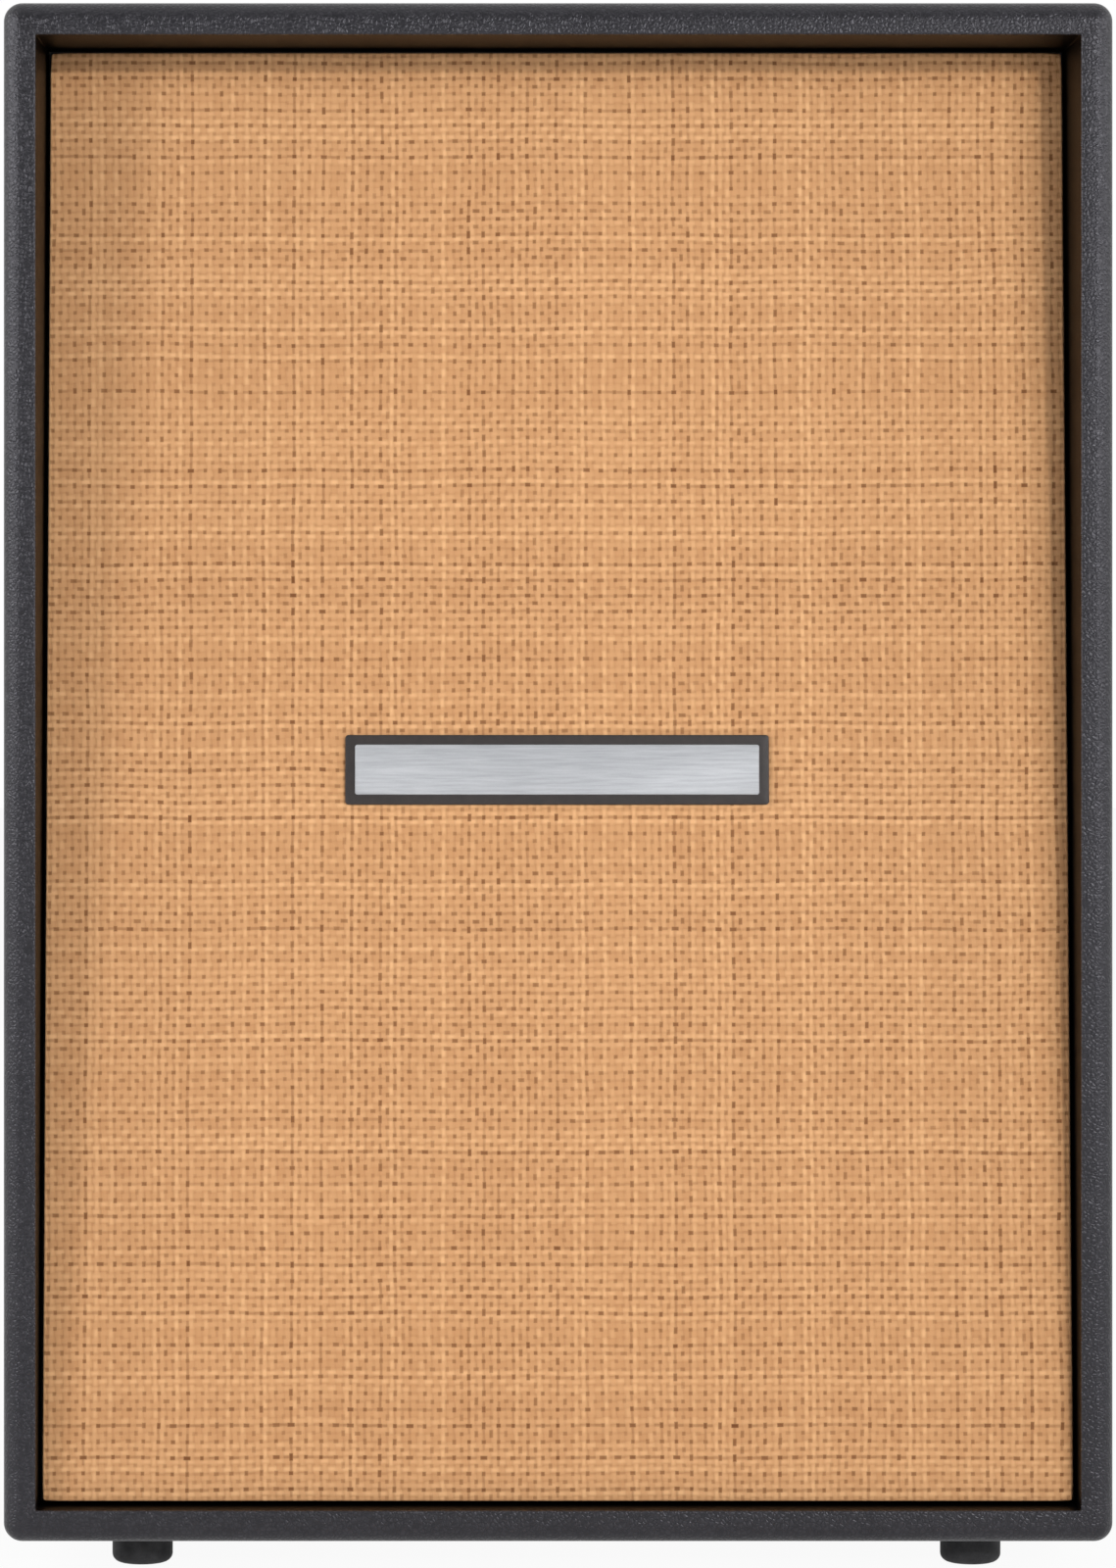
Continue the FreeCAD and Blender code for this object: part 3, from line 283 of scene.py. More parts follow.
def summed(tree, *terms):
    # each term is a value and its share: their products added up
    total = 0.0
    for value, share in terms:
        total = timesPlus(tree, value, share, total)
    return total


def startGroup(name, inputs, outputs=("Tone", "Height")):
    # a node group that takes a vector and named numbers; returns its tree, its input and its output sockets
    tree = bpy.data.node_groups.new(name, "ShaderNodeTree")
    tree.interface.new_socket("Vector", in_out="INPUT", socket_type="NodeSocketVector")
    for label, value in inputs.items():
        socket = tree.interface.new_socket(label, in_out="INPUT", socket_type="NodeSocketFloat")
        socket.default_value = value
    for label in outputs:
        tree.interface.new_socket(label, in_out="OUTPUT", socket_type="NodeSocketFloat")
    entry = tree.nodes.new("NodeGroupInput")
    leave = tree.nodes.new("NodeGroupOutput")
    return tree, entry.outputs, leave.inputs


# Effects that several finishes share: each puts out a tone and a height

pebble = {"bendScale": 160.0, "bend": 0.0022, "domeWidth": 0.35, "fineScale": 2600.0, "slowScale": 35.0,
          "fineHeight": 0.25, "slowHeight": 0.3, "toneShare": 0.35}


def makePebbleGrain():
    # rounded cells with furrows between them, over a finer and a slower unevenness
    tree, given, result = startGroup("pebbleGrain", {"Scale": 600.0, "Crease": 0.5})
    bent = addNode(tree, "TexNoise", {"Vector": given["Vector"], "Scale": pebble["bendScale"]})
    wander = scaled(tree, bent.outputs["Color"], (pebble["bend"],) * 3)
    moved = addNode(tree, "VectorMath", {0: given["Vector"], 1: wander}, operation="ADD").outputs[0]
    cellInputs = {"Vector": moved, "Scale": given["Scale"]}
    cells = addNode(tree, "TexVoronoi", cellInputs, feature="DISTANCE_TO_EDGE")
    shades = addNode(tree, "TexVoronoi", cellInputs, feature="F1")
    dome = remap(tree, cells.outputs["Distance"], 0.0, pebble["domeWidth"], kind="SMOOTHSTEP")
    fine = noise(tree, given["Vector"], pebble["fineScale"])
    slow = noise(tree, given["Vector"], pebble["slowScale"], detail=3.0)
    bumps = ((dome, given["Crease"]), (fine, pebble["fineHeight"]), (slow, pebble["slowHeight"]))
    plug(tree, summed(tree, *bumps), result["Height"])
    # the tone is partly each cell's own shade at random and partly follows the relief, lighter on the domes
    # and the slow rises and darker in the furrows: painted shade
    share = pebble["toneShare"]
    tone = summed(tree, (shades.outputs["Color"], share), (dome, share), (slow, share))
    plug(tree, tone, result["Tone"])


mottle = {"finer": 24.0, "cloudSpan": (0.3, 0.7), "speckTone": 1.6, "cloudHeight": 0.4, "roughness": 0.6}


def makeMottle():
    # cloudy noise with fine specks over it
    tree, given, result = startGroup("mottle", {"Scale": 60.0, "Specks": 0.5})
    cloud = noise(tree, given["Vector"], given["Scale"], detail=4.0, roughness=mottle["roughness"])
    fineScale = times(tree, given["Scale"], mottle["finer"])
    fine = noise(tree, given["Vector"], fineScale, roughness=mottle["roughness"])
    specks = times(tree, calc(tree, "SUBTRACT", fine, 0.5), given["Specks"])
    tone = timesPlus(tree, specks, mottle["speckTone"], remap(tree, cloud, *mottle["cloudSpan"]))
    plug(tree, tone, result["Tone"])
    plug(tree, timesPlus(tree, cloud, mottle["cloudHeight"], specks), result["Height"])


wood = {"slowScale": 5.0, "rings": 9.0, "fibreScale": 60.0, "poreScale": 140.0, "poreSpan": (0.62, 0.72),
        "ringTone": 0.35, "fibreTone": 0.8, "poreTone": -0.35}


def makeWoodGrain():
    # growth lines across the grain, bent by slow noise, with short dark pores along it
    tree, given, result = startGroup("woodGrain", {"Scale": 1.0})
    sized = scaled(tree, given["Vector"], given["Scale"])
    slow = noise(tree, sized, wood["slowScale"], detail=3.0)
    rings = calc(tree, "FRACT", times(tree, slow, wood["rings"]))
    soft = calc(tree, "PINGPONG", times(tree, rings, 2.0), 1.0)
    fibres = noise(tree, sized, wood["fibreScale"], detail=4.0, roughness=0.7)
    pores = remap(tree, noise(tree, sized, wood["poreScale"]), *wood["poreSpan"])
    tone = summed(tree, (soft, wood["ringTone"]), (fibres, wood["fibreTone"]), (pores, wood["poreTone"]))
    plug(tree, tone, result["Tone"])
    plug(tree, calc(tree, "SUBTRACT", fibres, pores), result["Height"])


# The weave's shares of tone, with painted highlights on the threads' crowns and tops, and of darkness in
# its gaps, partly painted shade, and one seed for each thing left to chance
weave = {"driftScale": 16.0, "threadStep": 5.37, "slubRate": 34.0, "setStep": 40.0, "dive": 0.32,
         "body": 0.5, "crown": 2.0, "pull": (0.1, 0.5),
         "paleFrom": 0.25, "threadTone": 0.66, "baseTone": -0.02, "patchTone": 0.22, "topTone": 0.25,
         "dotHalf": 0.27, "dotStretch": 0.34, "dotSpan": (0.65, 1.1), "dotDark": 0.31, "dotChance": 0.22,
         "dotOpen": 0.24, "faintDark": 0.36, "seamSpan": (0.10, 0.26), "seamBreak": (0.1, 0.8),
         "seamEven": 0.75, "seamBase": 0.28, "seamDark": 0.42}
seeds = {"open": 31.7, "stretch": 6.7, "pale": 17.3, "seam": 8.6, "patch": 2.9, "dot": 4.1}


def makeBasketWeave():
    # two sets of threads that pass over and under each other, each with its own tone and slubs, made
    # lighter on its crown where it passes over and the higher it lies, a painted highlight; where two even
    # lines between threads cross there is a dark gap, where two odd ones cross a faint one, and along some
    # lines the threads part a
    # little: these are the dark behind seen through and painted shade between the threads
    sizes = {"Pitch across": 0.0034, "Pitch up": 0.0036, "Slub": 0.5, "Wander": 0.5}
    tree, given, result = startGroup("basketWeave", sizes, ("Tone", "Height", "Gap"))
    split = addNode(tree, "SeparateXYZ", {0: given["Vector"]}).outputs
    driftInputs = {"Vector": given["Vector"], "Scale": weave["driftScale"], "Detail": 3.0}
    drift = addNode(tree, "TexNoise", driftInputs).outputs["Color"]
    drifts = addNode(tree, "SeparateColor", {0: drift}).outputs
    indexes, offsets, lines, nears, evens, opens = [], [], [], [], [], []
    for axis, pitch in ((0, "Pitch across"), (1, "Pitch up")):
        bend = times(tree, calc(tree, "SUBTRACT", drifts[axis], 0.5), given["Wander"])
        count = calc(tree, "ADD", calc(tree, "DIVIDE", split[axis], given[pitch]), bend)
        line = calc(tree, "ROUND", count)
        lines.append(line)
        indexes.append(calc(tree, "FLOOR", count))
        offsets.append(calc(tree, "SUBTRACT", calc(tree, "FRACT", count), 0.5))
        nears.append(calc(tree, "ABSOLUTE", calc(tree, "SUBTRACT", count, line)))
        evens.append(calc(tree, "SUBTRACT", 1.0, oddness(tree, line, 0.0)))
        opens.append(chance(tree, line, 0.0, seeds["open"] + axis))
    bothOpen = calc(tree, "ADD", *opens)
    sign = timesPlus(tree, oddness(tree, *indexes), -2.0, 1.0)
    each = chance(tree, *lines, seeds["stretch"])
    heights, tones, spans, seams = [], [], [], []
    for own, other, side in ((0, 1, 1.0), (1, 0, -1.0)):
        thread = times(tree, indexes[own], weave["threadStep"])
        along = times(tree, split[other], weave["slubRate"])
        run = addNode(tree, "CombineXYZ", {0: thread, 1: along, 2: weave["setStep"] * own}).outputs[0]
        slub = calc(tree, "SUBTRACT", noise(tree, run, 1.0), 0.5)
        ridge = calc(tree, "COSINE", times(tree, offsets[own], math.pi))
        wave = calc(tree, "COSINE", times(tree, offsets[other], math.pi))
        over = times(tree, wave, sign)
        lift = timesPlus(tree, over, weave["dive"] * side, 1.0 - weave["dive"])
        heights.append(times(tree, calc(tree, "POWER", ridge, weave["body"]), lift))
        shade = remap(tree, chance(tree, indexes[own], 0.0, seeds["pale"] + own), weave["paleFrom"], 1.0)
        pale = timesPlus(tree, slub, given["Slub"], shade)
        # each thread is lighter along its crown where it passes over: painted highlight
        crown = times(tree, calc(tree, "POWER", ridge, weave["crown"]), lift)
        tones.append(times(tree, pale, crown))
        pulled = remap(tree, each, *[0.5 + side * pull for pull in weave["pull"]])   # one way at most
        stretch = times(tree, opens[other], pulled)
        width = timesPlus(tree, stretch, weave["dotStretch"], weave["dotHalf"])
        spans.append(calc(tree, "DIVIDE", nears[own], width))
        seam = remap(tree, nears[own], *weave["seamSpan"], 1.0, 0.0, "SMOOTHSTEP")
        weight = timesPlus(tree, evens[own], weave["seamEven"], weave["seamBase"])
        broken = chance(tree, lines[own], indexes[other], seeds["seam"] + own)
        parted = times(tree, opens[own], remap(tree, broken, *weave["seamBreak"]))
        seams.append(times(tree, times(tree, seam, weight), parted))
    top = calc(tree, "MAXIMUM", *heights)
    plug(tree, top, result["Height"])
    tone = timesPlus(tree, calc(tree, "MAXIMUM", *tones), weave["threadTone"], weave["baseTone"])
    tone = timesPlus(tree, chance(tree, *indexes, seeds["patch"]), weave["patchTone"], tone)
    # lighter the higher the threads lie: painted highlight
    plug(tree, timesPlus(tree, top, weave["topTone"], tone), result["Tone"])
    # dark dots where lines cross, even crossings darker than odd ones: partly the dark behind seen through,
    # partly painted shade
    dot = remap(tree, calc(tree, "MAXIMUM", *spans), *weave["dotSpan"], 1.0, 0.0, "SMOOTHSTEP")
    varied = timesPlus(tree, chance(tree, *lines, seeds["dot"]), weave["dotChance"], weave["dotDark"])
    clear = timesPlus(tree, bothOpen, weave["dotOpen"], varied)
    bothEven = times(tree, *evens)
    bothOdd = times(tree, *[calc(tree, "SUBTRACT", 1.0, even) for even in evens])
    faint = times(tree, bothOdd, times(tree, bothOpen, weave["faintDark"]))
    strength = timesPlus(tree, bothEven, clear, faint)
    seam = times(tree, calc(tree, "MAXIMUM", *seams), weave["seamDark"])
    plug(tree, calc(tree, "MAXIMUM", times(tree, dot, strength), seam), result["Gap"])


def chance(tree, first, second, seed):
    # a value from 0 to 1 for each pair of whole numbers
    pair = addNode(tree, "CombineXYZ", {0: first, 1: second, 2: seed}).outputs[0]
    return addNode(tree, "TexWhiteNoise", {"Vector": pair}, noise_dimensions="3D").outputs["Value"]


def oddness(tree, first, second):
    # 0 where two whole numbers add up to an even one, 1 where they add up to an odd one
    return calc(tree, "MODULO", calc(tree, "ABSOLUTE", calc(tree, "ADD", first, second)), 2.0)


for maker in (makePebbleGrain, makeMottle, makeWoodGrain, makeBasketWeave):
    maker()
print("effects:", len(bpy.data.node_groups), "node groups")


# Finishes

def startFinish(name, roughness, metallic=0.0, **sockets):
    material = bpy.data.materials.new(pieceName(name) + "Finish")
    material.use_nodes = True
    tree = material.node_tree
    shader = tree.nodes["Principled BSDF"]
    shader.inputs["Metallic"].default_value = metallic
    shader.inputs["Roughness"].default_value = roughness
    for label, value in sockets.items():
        shader.inputs[label.replace("_", " ")].default_value = value
    return material, tree, shader


def place(tree, stretch=(1.0, 1.0, 1.0)):
    # the surface's own coordinates, stretched along the axes
    coordinates = tree.nodes.new("ShaderNodeTexCoord").outputs["Object"]
    return addNode(tree, "Mapping", {"Vector": coordinates, "Scale": stretch}).outputs[0]


def effect(tree, group, values):
    made = tree.nodes.new("ShaderNodeGroup")
    made.node_tree = bpy.data.node_groups[group]
    for label, value in values.items():
        plug(tree, value, made.inputs[label])
    return made.outputs


def bumpInto(tree, shader, height, depth, strength=1.0):
    inputs = {"Height": height, "Distance": depth, "Strength": strength}
    plug(tree, addNode(tree, "Bump", inputs).outputs[0], shader.inputs["Normal"])


markSockets = {"mottle": "Specks", "pebbleGrain": "Crease"}


def surface(scale, marks, dark, light, rough, relief, group="mottle", **more):
    # scale of an effect and strength of its marks, dark and light colour, dull and bright roughness, depth
    # of the relief
    values = {"Scale": scale}
    if group in markSockets:
        values[markSockets[group]] = marks
    return {"effect": group, "values": values, "colours": (dark, light), "rough": rough, "relief": relief,
            **more}


def grey(level):
    return (level, level, level)


# The carcass and the back panels share a black vinyl, and all boards have their grain running up
# its reflections are tinted a little blue, standing in for cool light: painted light
vinyl = surface(520.0, 1.0, (0.0004, 0.0004, 0.0008), (0.021, 0.0205, 0.0245), (0.45, 0.26), 0.00014,
                "pebbleGrain", tint=(0.94, 0.92, 1.0))
grain = {"group": "woodGrain", "stretch": (9.0, 9.0, 0.8)}
finishes = {
    "covering": vinyl,
    # the vinyl within the recess, darker and with weaker reflections: its darker colour is painted shade
    "lining": surface(520.0, 0.6, grey(0.0005), grey(0.002), (0.45, 0.40), 0.00003, "pebbleGrain",
                      gloss=0.05),
    "covered_board": vinyl,
    "plywood": surface(1.0, None, (0.30, 0.185, 0.095), (0.66, 0.49, 0.30), (0.72, 0.5), 0.00015, **grain),
    "black_board": surface(1.0, None, grey(0.008), (0.026, 0.025, 0.024), (0.75, 0.55), 0.0002, **grain),
    "tape": surface(900.0, 1.0, grey(0.006), grey(0.04), (0.95, 0.8), 0.0008),
    "black_screw": surface(300.0, 0.4, grey(0.012), grey(0.05), (0.5, 0.32), 0.00004, metal=0.6),
    "zinc": surface(240.0, 0.4, (0.38, 0.38, 0.36), (0.62, 0.62, 0.59), (0.45, 0.25), 0.00004, metal=1.0),
    "black_plate": surface(130.0, 1.0, grey(0.012), (0.028, 0.028, 0.029), (0.55, 0.38), 0.0001),
    "jack_body": surface(200.0, 0.6, grey(0.010), grey(0.024), (0.5, 0.35), 0.00005),
    "nickel": surface(180.0, 0.3, (0.52, 0.50, 0.46), (0.72, 0.70, 0.66), (0.28, 0.14), 0.00002, metal=1.0),
    "cable": surface(150.0, 0.5, grey(0.010), grey(0.026), (0.55, 0.4), 0.00006),
    "clip": surface(170.0, 0.5, grey(0.018), grey(0.040), (0.55, 0.4), 0.00006),
    "foot_rubber": surface(120.0, 0.8, (0.010, 0.010, 0.011), (0.028, 0.028, 0.030), (0.78, 0.6), 0.0001),
    "handle_plastic": surface(1500.0, 0.5, (0.009, 0.009, 0.010), (0.020, 0.020, 0.021), (0.55, 0.42),
                              0.00009, "pebbleGrain"),
    "grip_rubber": surface(160.0, 0.7, grey(0.008), grey(0.020), (0.7, 0.5), 0.00008),
    "gasket": surface(220.0, 1.0, (0.045, 0.036, 0.028), (0.16, 0.13, 0.10), (0.95, 0.85), 0.00025),
    "chassis": surface(110.0, 0.6, (0.045, 0.045, 0.048), (0.085, 0.085, 0.09), (0.5, 0.34), 0.00006,
                       metal=0.35),
    "coil": surface(90.0, 0.5, (0.42, 0.19, 0.08), (0.72, 0.38, 0.19), (0.4, 0.25), 0.00006, metal=1.0,
                    stretch=(1.0, 14.0, 14.0)),
    "plated_steel": surface(130.0, 0.5, (0.36, 0.35, 0.32), (0.56, 0.55, 0.51), (0.45, 0.28), 0.00004,
                            metal=1.0),
    "ferrite": surface(170.0, 1.0, (0.030, 0.030, 0.032), (0.085, 0.085, 0.09), (0.8, 0.6), 0.00014),
    "terminal": surface(120.0, 0.6, (0.12, 0.055, 0.025), (0.26, 0.135, 0.07), (0.55, 0.4), 0.00005),
    "tinsel": surface(1300.0, 1.0, (0.32, 0.18, 0.08), (0.70, 0.45, 0.24), (0.5, 0.35), 0.0001, metal=0.9),
    "cone_paper": surface(260.0, 1.0, (0.014, 0.013, 0.012), (0.052, 0.049, 0.046), (0.95, 0.8), 0.0002),
}


def makeFinish(slot, spec):
    # colour, roughness and relief all follow the tone and height of one effect
    material, tree, shader = startFinish(slot, spec["rough"][0], spec.get("metal", 0.0),
                                         Specular_IOR_Level=spec.get("gloss", 0.5),
                                         Specular_Tint=spec.get("tint", grey(1.0)) + (1.0,))
    vector = place(tree, spec.get("stretch", (1.0, 1.0, 1.0)))
    marks = effect(tree, spec["effect"], {"Vector": vector, **spec["values"]})
    dark, light = [colour + (1.0,) for colour in spec["colours"]]
    plug(tree, mixColour(tree, marks["Tone"], dark, light), shader.inputs["Base Color"])
    plug(tree, remap(tree, marks["Tone"], 0.0, 1.0, *spec["rough"]), shader.inputs["Roughness"])
    bumpInto(tree, shader, marks["Height"], spec["relief"])
    return material


def woven(tree, look):
    # the weave on a cloth's own flat map
    flat = tree.nodes.new("ShaderNodeTexCoord").outputs["UV"]
    return effect(tree, "basketWeave", {"Vector": flat, "Pitch across": look["pitchAcross"],
                                        "Pitch up": look["pitchUp"], "Slub": look["slub"],
                                        "Wander": look["wander"]})


# Straw cloth of the grille, with slubby threads and dark gaps between them, partly painted shade, and
# painted highlights on the threads' crowns
grilleLook = {"pitchAcross": 0.00338, "pitchUp": 0.00365, "slub": 0.5, "wander": 0.9,
              "dark": (0.440, 0.217, 0.093, 1.0), "light": (0.655, 0.375, 0.182, 1.0),
              "gap": (0.16, 0.057, 0.018, 1.0), "rough": 0.85, "gloss": 0.25, "relief": 0.0004,
              "strength": 0.8}


def makeGrilleCloth():
    look = grilleLook
    material, tree, shader = startFinish("grille_cloth", look["rough"], Specular_IOR_Level=look["gloss"])
    marks = woven(tree, look)
    threads = mixColour(tree, marks["Tone"], look["dark"], look["light"])
    # the gaps take a dark brown: the dark behind the cloth and painted shade between the threads
    plug(tree, mixColour(tree, marks["Gap"], threads, look["gap"]), shader.inputs["Base Color"])
    bumpInto(tree, shader, marks["Height"], look["relief"], look["strength"])
    return material


# Doped cloth of the surrounds and spiders, finely woven
suspensionWeave = {"pitchAcross": 0.0009, "pitchUp": 0.0009, "slub": 0.2, "wander": 0.2, "relief": 0.0002,
                   "gapRough": 0.95}
suspensionCloths = {
    "surround_cloth": {"dark": (0.008, 0.0075, 0.007, 1.0), "light": (0.035, 0.033, 0.031, 1.0),
                       "rough": 0.55},
    "spider_cloth": {"dark": (0.24, 0.13, 0.04, 1.0), "light": (0.52, 0.33, 0.14, 1.0), "rough": 0.75},
}


def makeSuspensionCloth(slot, look):
    material, tree, shader = startFinish(slot, look["rough"])
    marks = woven(tree, suspensionWeave)
    plug(tree, mixColour(tree, marks["Tone"], look["dark"], look["light"]), shader.inputs["Base Color"])
    rough = remap(tree, marks["Gap"], 0.0, 1.0, look["rough"], suspensionWeave["gapRough"])
    plug(tree, rough, shader.inputs["Roughness"])
    bumpInto(tree, shader, marks["Height"], suspensionWeave["relief"])
    return material


# Badge: a blank silver panel on a dark plate, told apart by the panel attribute
badgeLook = {"dark": ((0.012, 0.009, 0.0085, 1.0), (0.022, 0.016, 0.015, 1.0)),
             "silver": ((0.32, 0.33, 0.35, 1.0), (0.43, 0.44, 0.46, 1.0)), "rough": (0.45, 0.50),
             "metal": 0.2, "plateMarks": {"Scale": 260.0, "Specks": 0.3}, "brush": (0.05, 1.0, 1.0),
             "brushMarks": {"Scale": 900.0, "Specks": 0.8}, "relief": 0.00003, "strength": 0.5}


def makeBadge():
    look = badgeLook
    material, tree, shader = startFinish("badge", look["rough"][0])
    onPanel = addNode(tree, "Attribute", attribute_name="panel").outputs["Fac"]
    plain = effect(tree, "mottle", {"Vector": place(tree), **look["plateMarks"]})
    brushed = effect(tree, "mottle", {"Vector": place(tree, look["brush"]), **look["brushMarks"]})
    dark = mixColour(tree, plain["Tone"], *look["dark"])
    silver = mixColour(tree, brushed["Tone"], *look["silver"])
    plug(tree, mixColour(tree, onPanel, dark, silver), shader.inputs["Base Color"])
    plug(tree, times(tree, onPanel, look["metal"]), shader.inputs["Metallic"])
    plug(tree, remap(tree, onPanel, 0.0, 1.0, *look["rough"]), shader.inputs["Roughness"])
    bumpInto(tree, shader, brushed["Height"], look["relief"], look["strength"])
    return material


materials = {slot: makeFinish(slot, spec) for slot, spec in finishes.items()}
materials["grille_cloth"] = makeGrilleCloth()
for slot, look in suspensionCloths.items():
    materials[slot] = makeSuspensionCloth(slot, look)
materials["badge"] = makeBadge()
print("finishes:", len(materials), "materials")


# Vinyl skin: one profile from the baffle, over the front lip, along the outside and in at the back
skin = {"edgeRadius": 0.0085, "lipRadius": 0.0010, "lipRun": 0.0040, "innerCorner": 0.0006, "wall": 0.0151,
        "thickness": 0.0007, "handleCover": (0.012, 0.008), "support": 0.002, "sideStop": 0.98,
        "lipSteps": 7, "edgeSteps": 14, "cornerSteps": 12, "tolerance": 1e-5}


def makeVinylSkin():
    # a rounded rectangle carried along the profile: drawn in by the profile's inset at the profile's depth
    low, high = boxCorners("vinyl_covering")
    middle, half = (low + high) / 2, (high - low) / 2
    edge, lip, wall, stop = skin["edgeRadius"], skin["lipRadius"], skin["wall"], skin["sideStop"]
    cupLow, cupHigh = boxCorners("right_handle_cup")
    cutLow, cutHigh = cupLow[1:] + skin["handleCover"], cupHigh[1:] - skin["handleCover"]
    profile = [(wall, middle[1]), (wall, low[1] + skin["lipRun"])]    # the first moves to the baffle below
    profile += arcPoints((wall - lip, low[1] + lip), lip, 0, -90, skin["lipSteps"])
    profile += arcPoints((edge, low[1] + edge), edge, -90, -180, skin["edgeSteps"])
    front, back = low[1] + edge + skin["support"], high[1] - edge - skin["support"]
    profile += [(0.0, y) for y in (front, cutLow[0], cutHigh[0], back)]     # front and back hold the flats
    profile += arcPoints((edge, high[1] - edge), edge, 180, 90, skin["edgeSteps"])
    profile += arcPoints((wall - lip, high[1] - lip), lip, 90, 0, skin["lipSteps"])
    profile += [(wall, boxCorners("upper_back_panel")[0][1])]
    inset, depth = np.array(profile).T
    corner = np.maximum(edge - inset, skin["innerCorner"])
    rows = np.stack([half[0] - inset, half[2] - inset, corner, depth], axis=1)
    cuts = (np.array([cutLow[1], cutHigh[1]]) - middle[2]) / (half[2] - edge)
    loops = roundedLoops(rows, skin["cornerSteps"], (-stop, 0.0, stop), (-stop, *cuts, stop))
    points = uprighted(loops, z=middle[2])
    baffleFront = slopeBox("baffle_board")[0][1]
    points[0, :, 1] = (baffleFront - points[0, :, 2] * slopeAxes[1][2]) / slopeAxes[1][1]

    def underCup(centre):
        inside = (centre[:, 1:] > cutLow).all(1) & (centre[:, 1:] < cutHigh).all(1)
        return inside & (np.abs(centre[:, 0]) > half[0] - edge / 2)

    piece = gridPiece("vinylSkin", points, drop=underCup)
    thicken(piece, skin["thickness"])
    dress(piece, materials["covering"], "vinyl_covering")
    # the faces within the recess take the darker copy of the vinyl: painted shade
    piece.data.materials.append(materials["lining"])         # for the faces within the recess
    apart = half - np.abs(readPoints(piece.data.polygons, "center") - middle)
    inside = np.minimum(apart[:, 0], apart[:, 2]) > wall - skin["tolerance"]
    piece.data.polygons.foreach_set("material_index", inside.astype(np.int32))


makeVinylSkin()
print("skin: covering over the carcass")


# Back panels: covered boards with soft edges, the lower one cut out for the jacks
panel = {"edge": 0.0016, "edgeSteps": 5, "corner": 0.0022, "cornerSteps": 6, "support": 0.0015,
         "holeMargin": 0.006, "holeCorner": 0.005}


def makeBackPanel(node, jacks=()):
    # a rounded rectangle carried round the board's edge: out from the back face and in again at the front
    low, high = boxCorners(node)
    middle, half = (low + high) / 2, (high - low) / 2
    edge, flat = panel["edge"], panel["edge"] + panel["support"]
    profile = [(flat, high[1])] + arcPoints((edge, high[1] - edge), edge, 90, 180, panel["edgeSteps"])
    profile += arcPoints((edge, low[1] + edge), edge, 180, 270, panel["edgeSteps"]) + [(flat, low[1])]
    rows = [(half[0] - inset, half[2] - inset, panel["corner"] + flat - inset, depth)
            for inset, depth in profile]
    if jacks:
        boxes = np.array([boxCorners(jack) for jack in jacks])
        first, last = boxes[:, 0].min(0), boxes[:, 1].max(0)
        holeHalf = (last - first) / 2 + panel["holeMargin"]
        hole = [(holeHalf[0], holeHalf[2], panel["holeCorner"], depth) for depth in (high[1], low[1])]
        rows = hole[:1] + rows + hole[1:]
    points = uprighted(roundedLoops(rows, panel["cornerSteps"]), z=middle[2])
    if jacks:
        points[[0, -1], :, 2] += (first + last)[2] / 2 - middle[2]
    piece = gridPiece(pieceName(node), points, wrapRows=bool(jacks), caps=not jacks)
    dress(piece, materials["covered_board"], node)


makeBackPanel("upper_back_panel")
makeBackPanel("centre_back_panel")
makeBackPanel("lower_back_panel", ("link_jack", "input_jack"))
print("back: three covered panels")


# Grille cloth: one sheet over the front and the edges of its frame, with its margin turned in behind
cloth = {"bend": 0.0012, "bendSteps": 5, "turn": 0.016, "across": 60, "up": 84, "thickness": 0.0007,
         "hollow": 0.0004, "corner": 0.0024}


def foldedLine(half, depth, count):
    # a line laid over a board: from its turned-in end round both edges, the front in equal steps; gives
    # its run, its place across the board and its depth behind the front
    bend, steps = cloth["bend"], cloth["bendSteps"]
    side = [(half - cloth["turn"], depth)]
    side += arcPoints((half - bend, depth - bend), bend, 90, 0, steps)
    side += arcPoints((half - bend, bend), bend, 0, -90, steps)
    side = np.array(side)
    front = np.linspace(half - bend, bend - half, count + 1)[1:-1]
    line = np.concatenate([side, np.stack([front, 0 * front], axis=1), side[::-1] * (-1, 1)])
    run = runAlong(line)
    return run - run[-1] / 2, -line[:, 0], line[:, 1]


def makeGrilleClothPiece():
    # two folded lines cross: a point is as deep as the deeper of the two, so the corners close into
    # mitres; the open front draws in a little between its edges, as a stretched sheet does; each square
    # corner is drawn in onto a quarter circle
    low, high = slopeBox("grille_cloth")
    middle, half, depth = (low + high) / 2, (high - low) / 2, high[1] - low[1]
    runU, placeU, depthU = foldedLine(half[0], depth, cloth["across"])
    runV, placeV, depthV = foldedLine(half[2], depth, cloth["up"])
    u, v = np.meshgrid(placeU, placeV)
    inward = np.maximum(*np.meshgrid(depthU, depthV))
    slack = np.clip(1 - (u / half[0]) ** 2, 0, 1) * np.clip(1 - (v / half[2]) ** 2, 0, 1)
    slack = slack * np.cos(2 * math.pi * v / half[2]) ** 2
    inward = inward + np.where(inward == 0, cloth["hollow"] * slack, 0)
    across = np.stack([u, v], axis=-1)
    square = half[[0, 2]] - cloth["corner"]
    beyond = np.abs(across) - square
    reach = np.linalg.norm(beyond, axis=-1, keepdims=True)
    drawn = beyond.max(-1, keepdims=True) / np.maximum(reach, 1e-9)
    inCorner = (beyond > 0).all(-1, keepdims=True)
    across = np.where(inCorner, np.sign(across) * (square + beyond * drawn), across)
    points = uprighted(np.dstack([across, inward + low[1]]), middle[0], middle[2]) @ slopeAxes
    flatMap = np.stack(np.meshgrid(runU, runV), axis=-1)
    piece = gridPiece("grilleCloth", points, wrapColumns=False, uv=flatMap, sharp=60)
    thicken(piece, cloth["thickness"])
    dress(piece, materials["grille_cloth"], "grille_cloth")


makeGrilleClothPiece()


# Badge: a dark plate with a raised blank panel
badge = {"corner": 0.0015, "panelCorner": 0.0012, "edge": 0.0004, "edgeSteps": 5, "border": 0.0045,
         "step": 0.0008, "bevel": 0.0003}


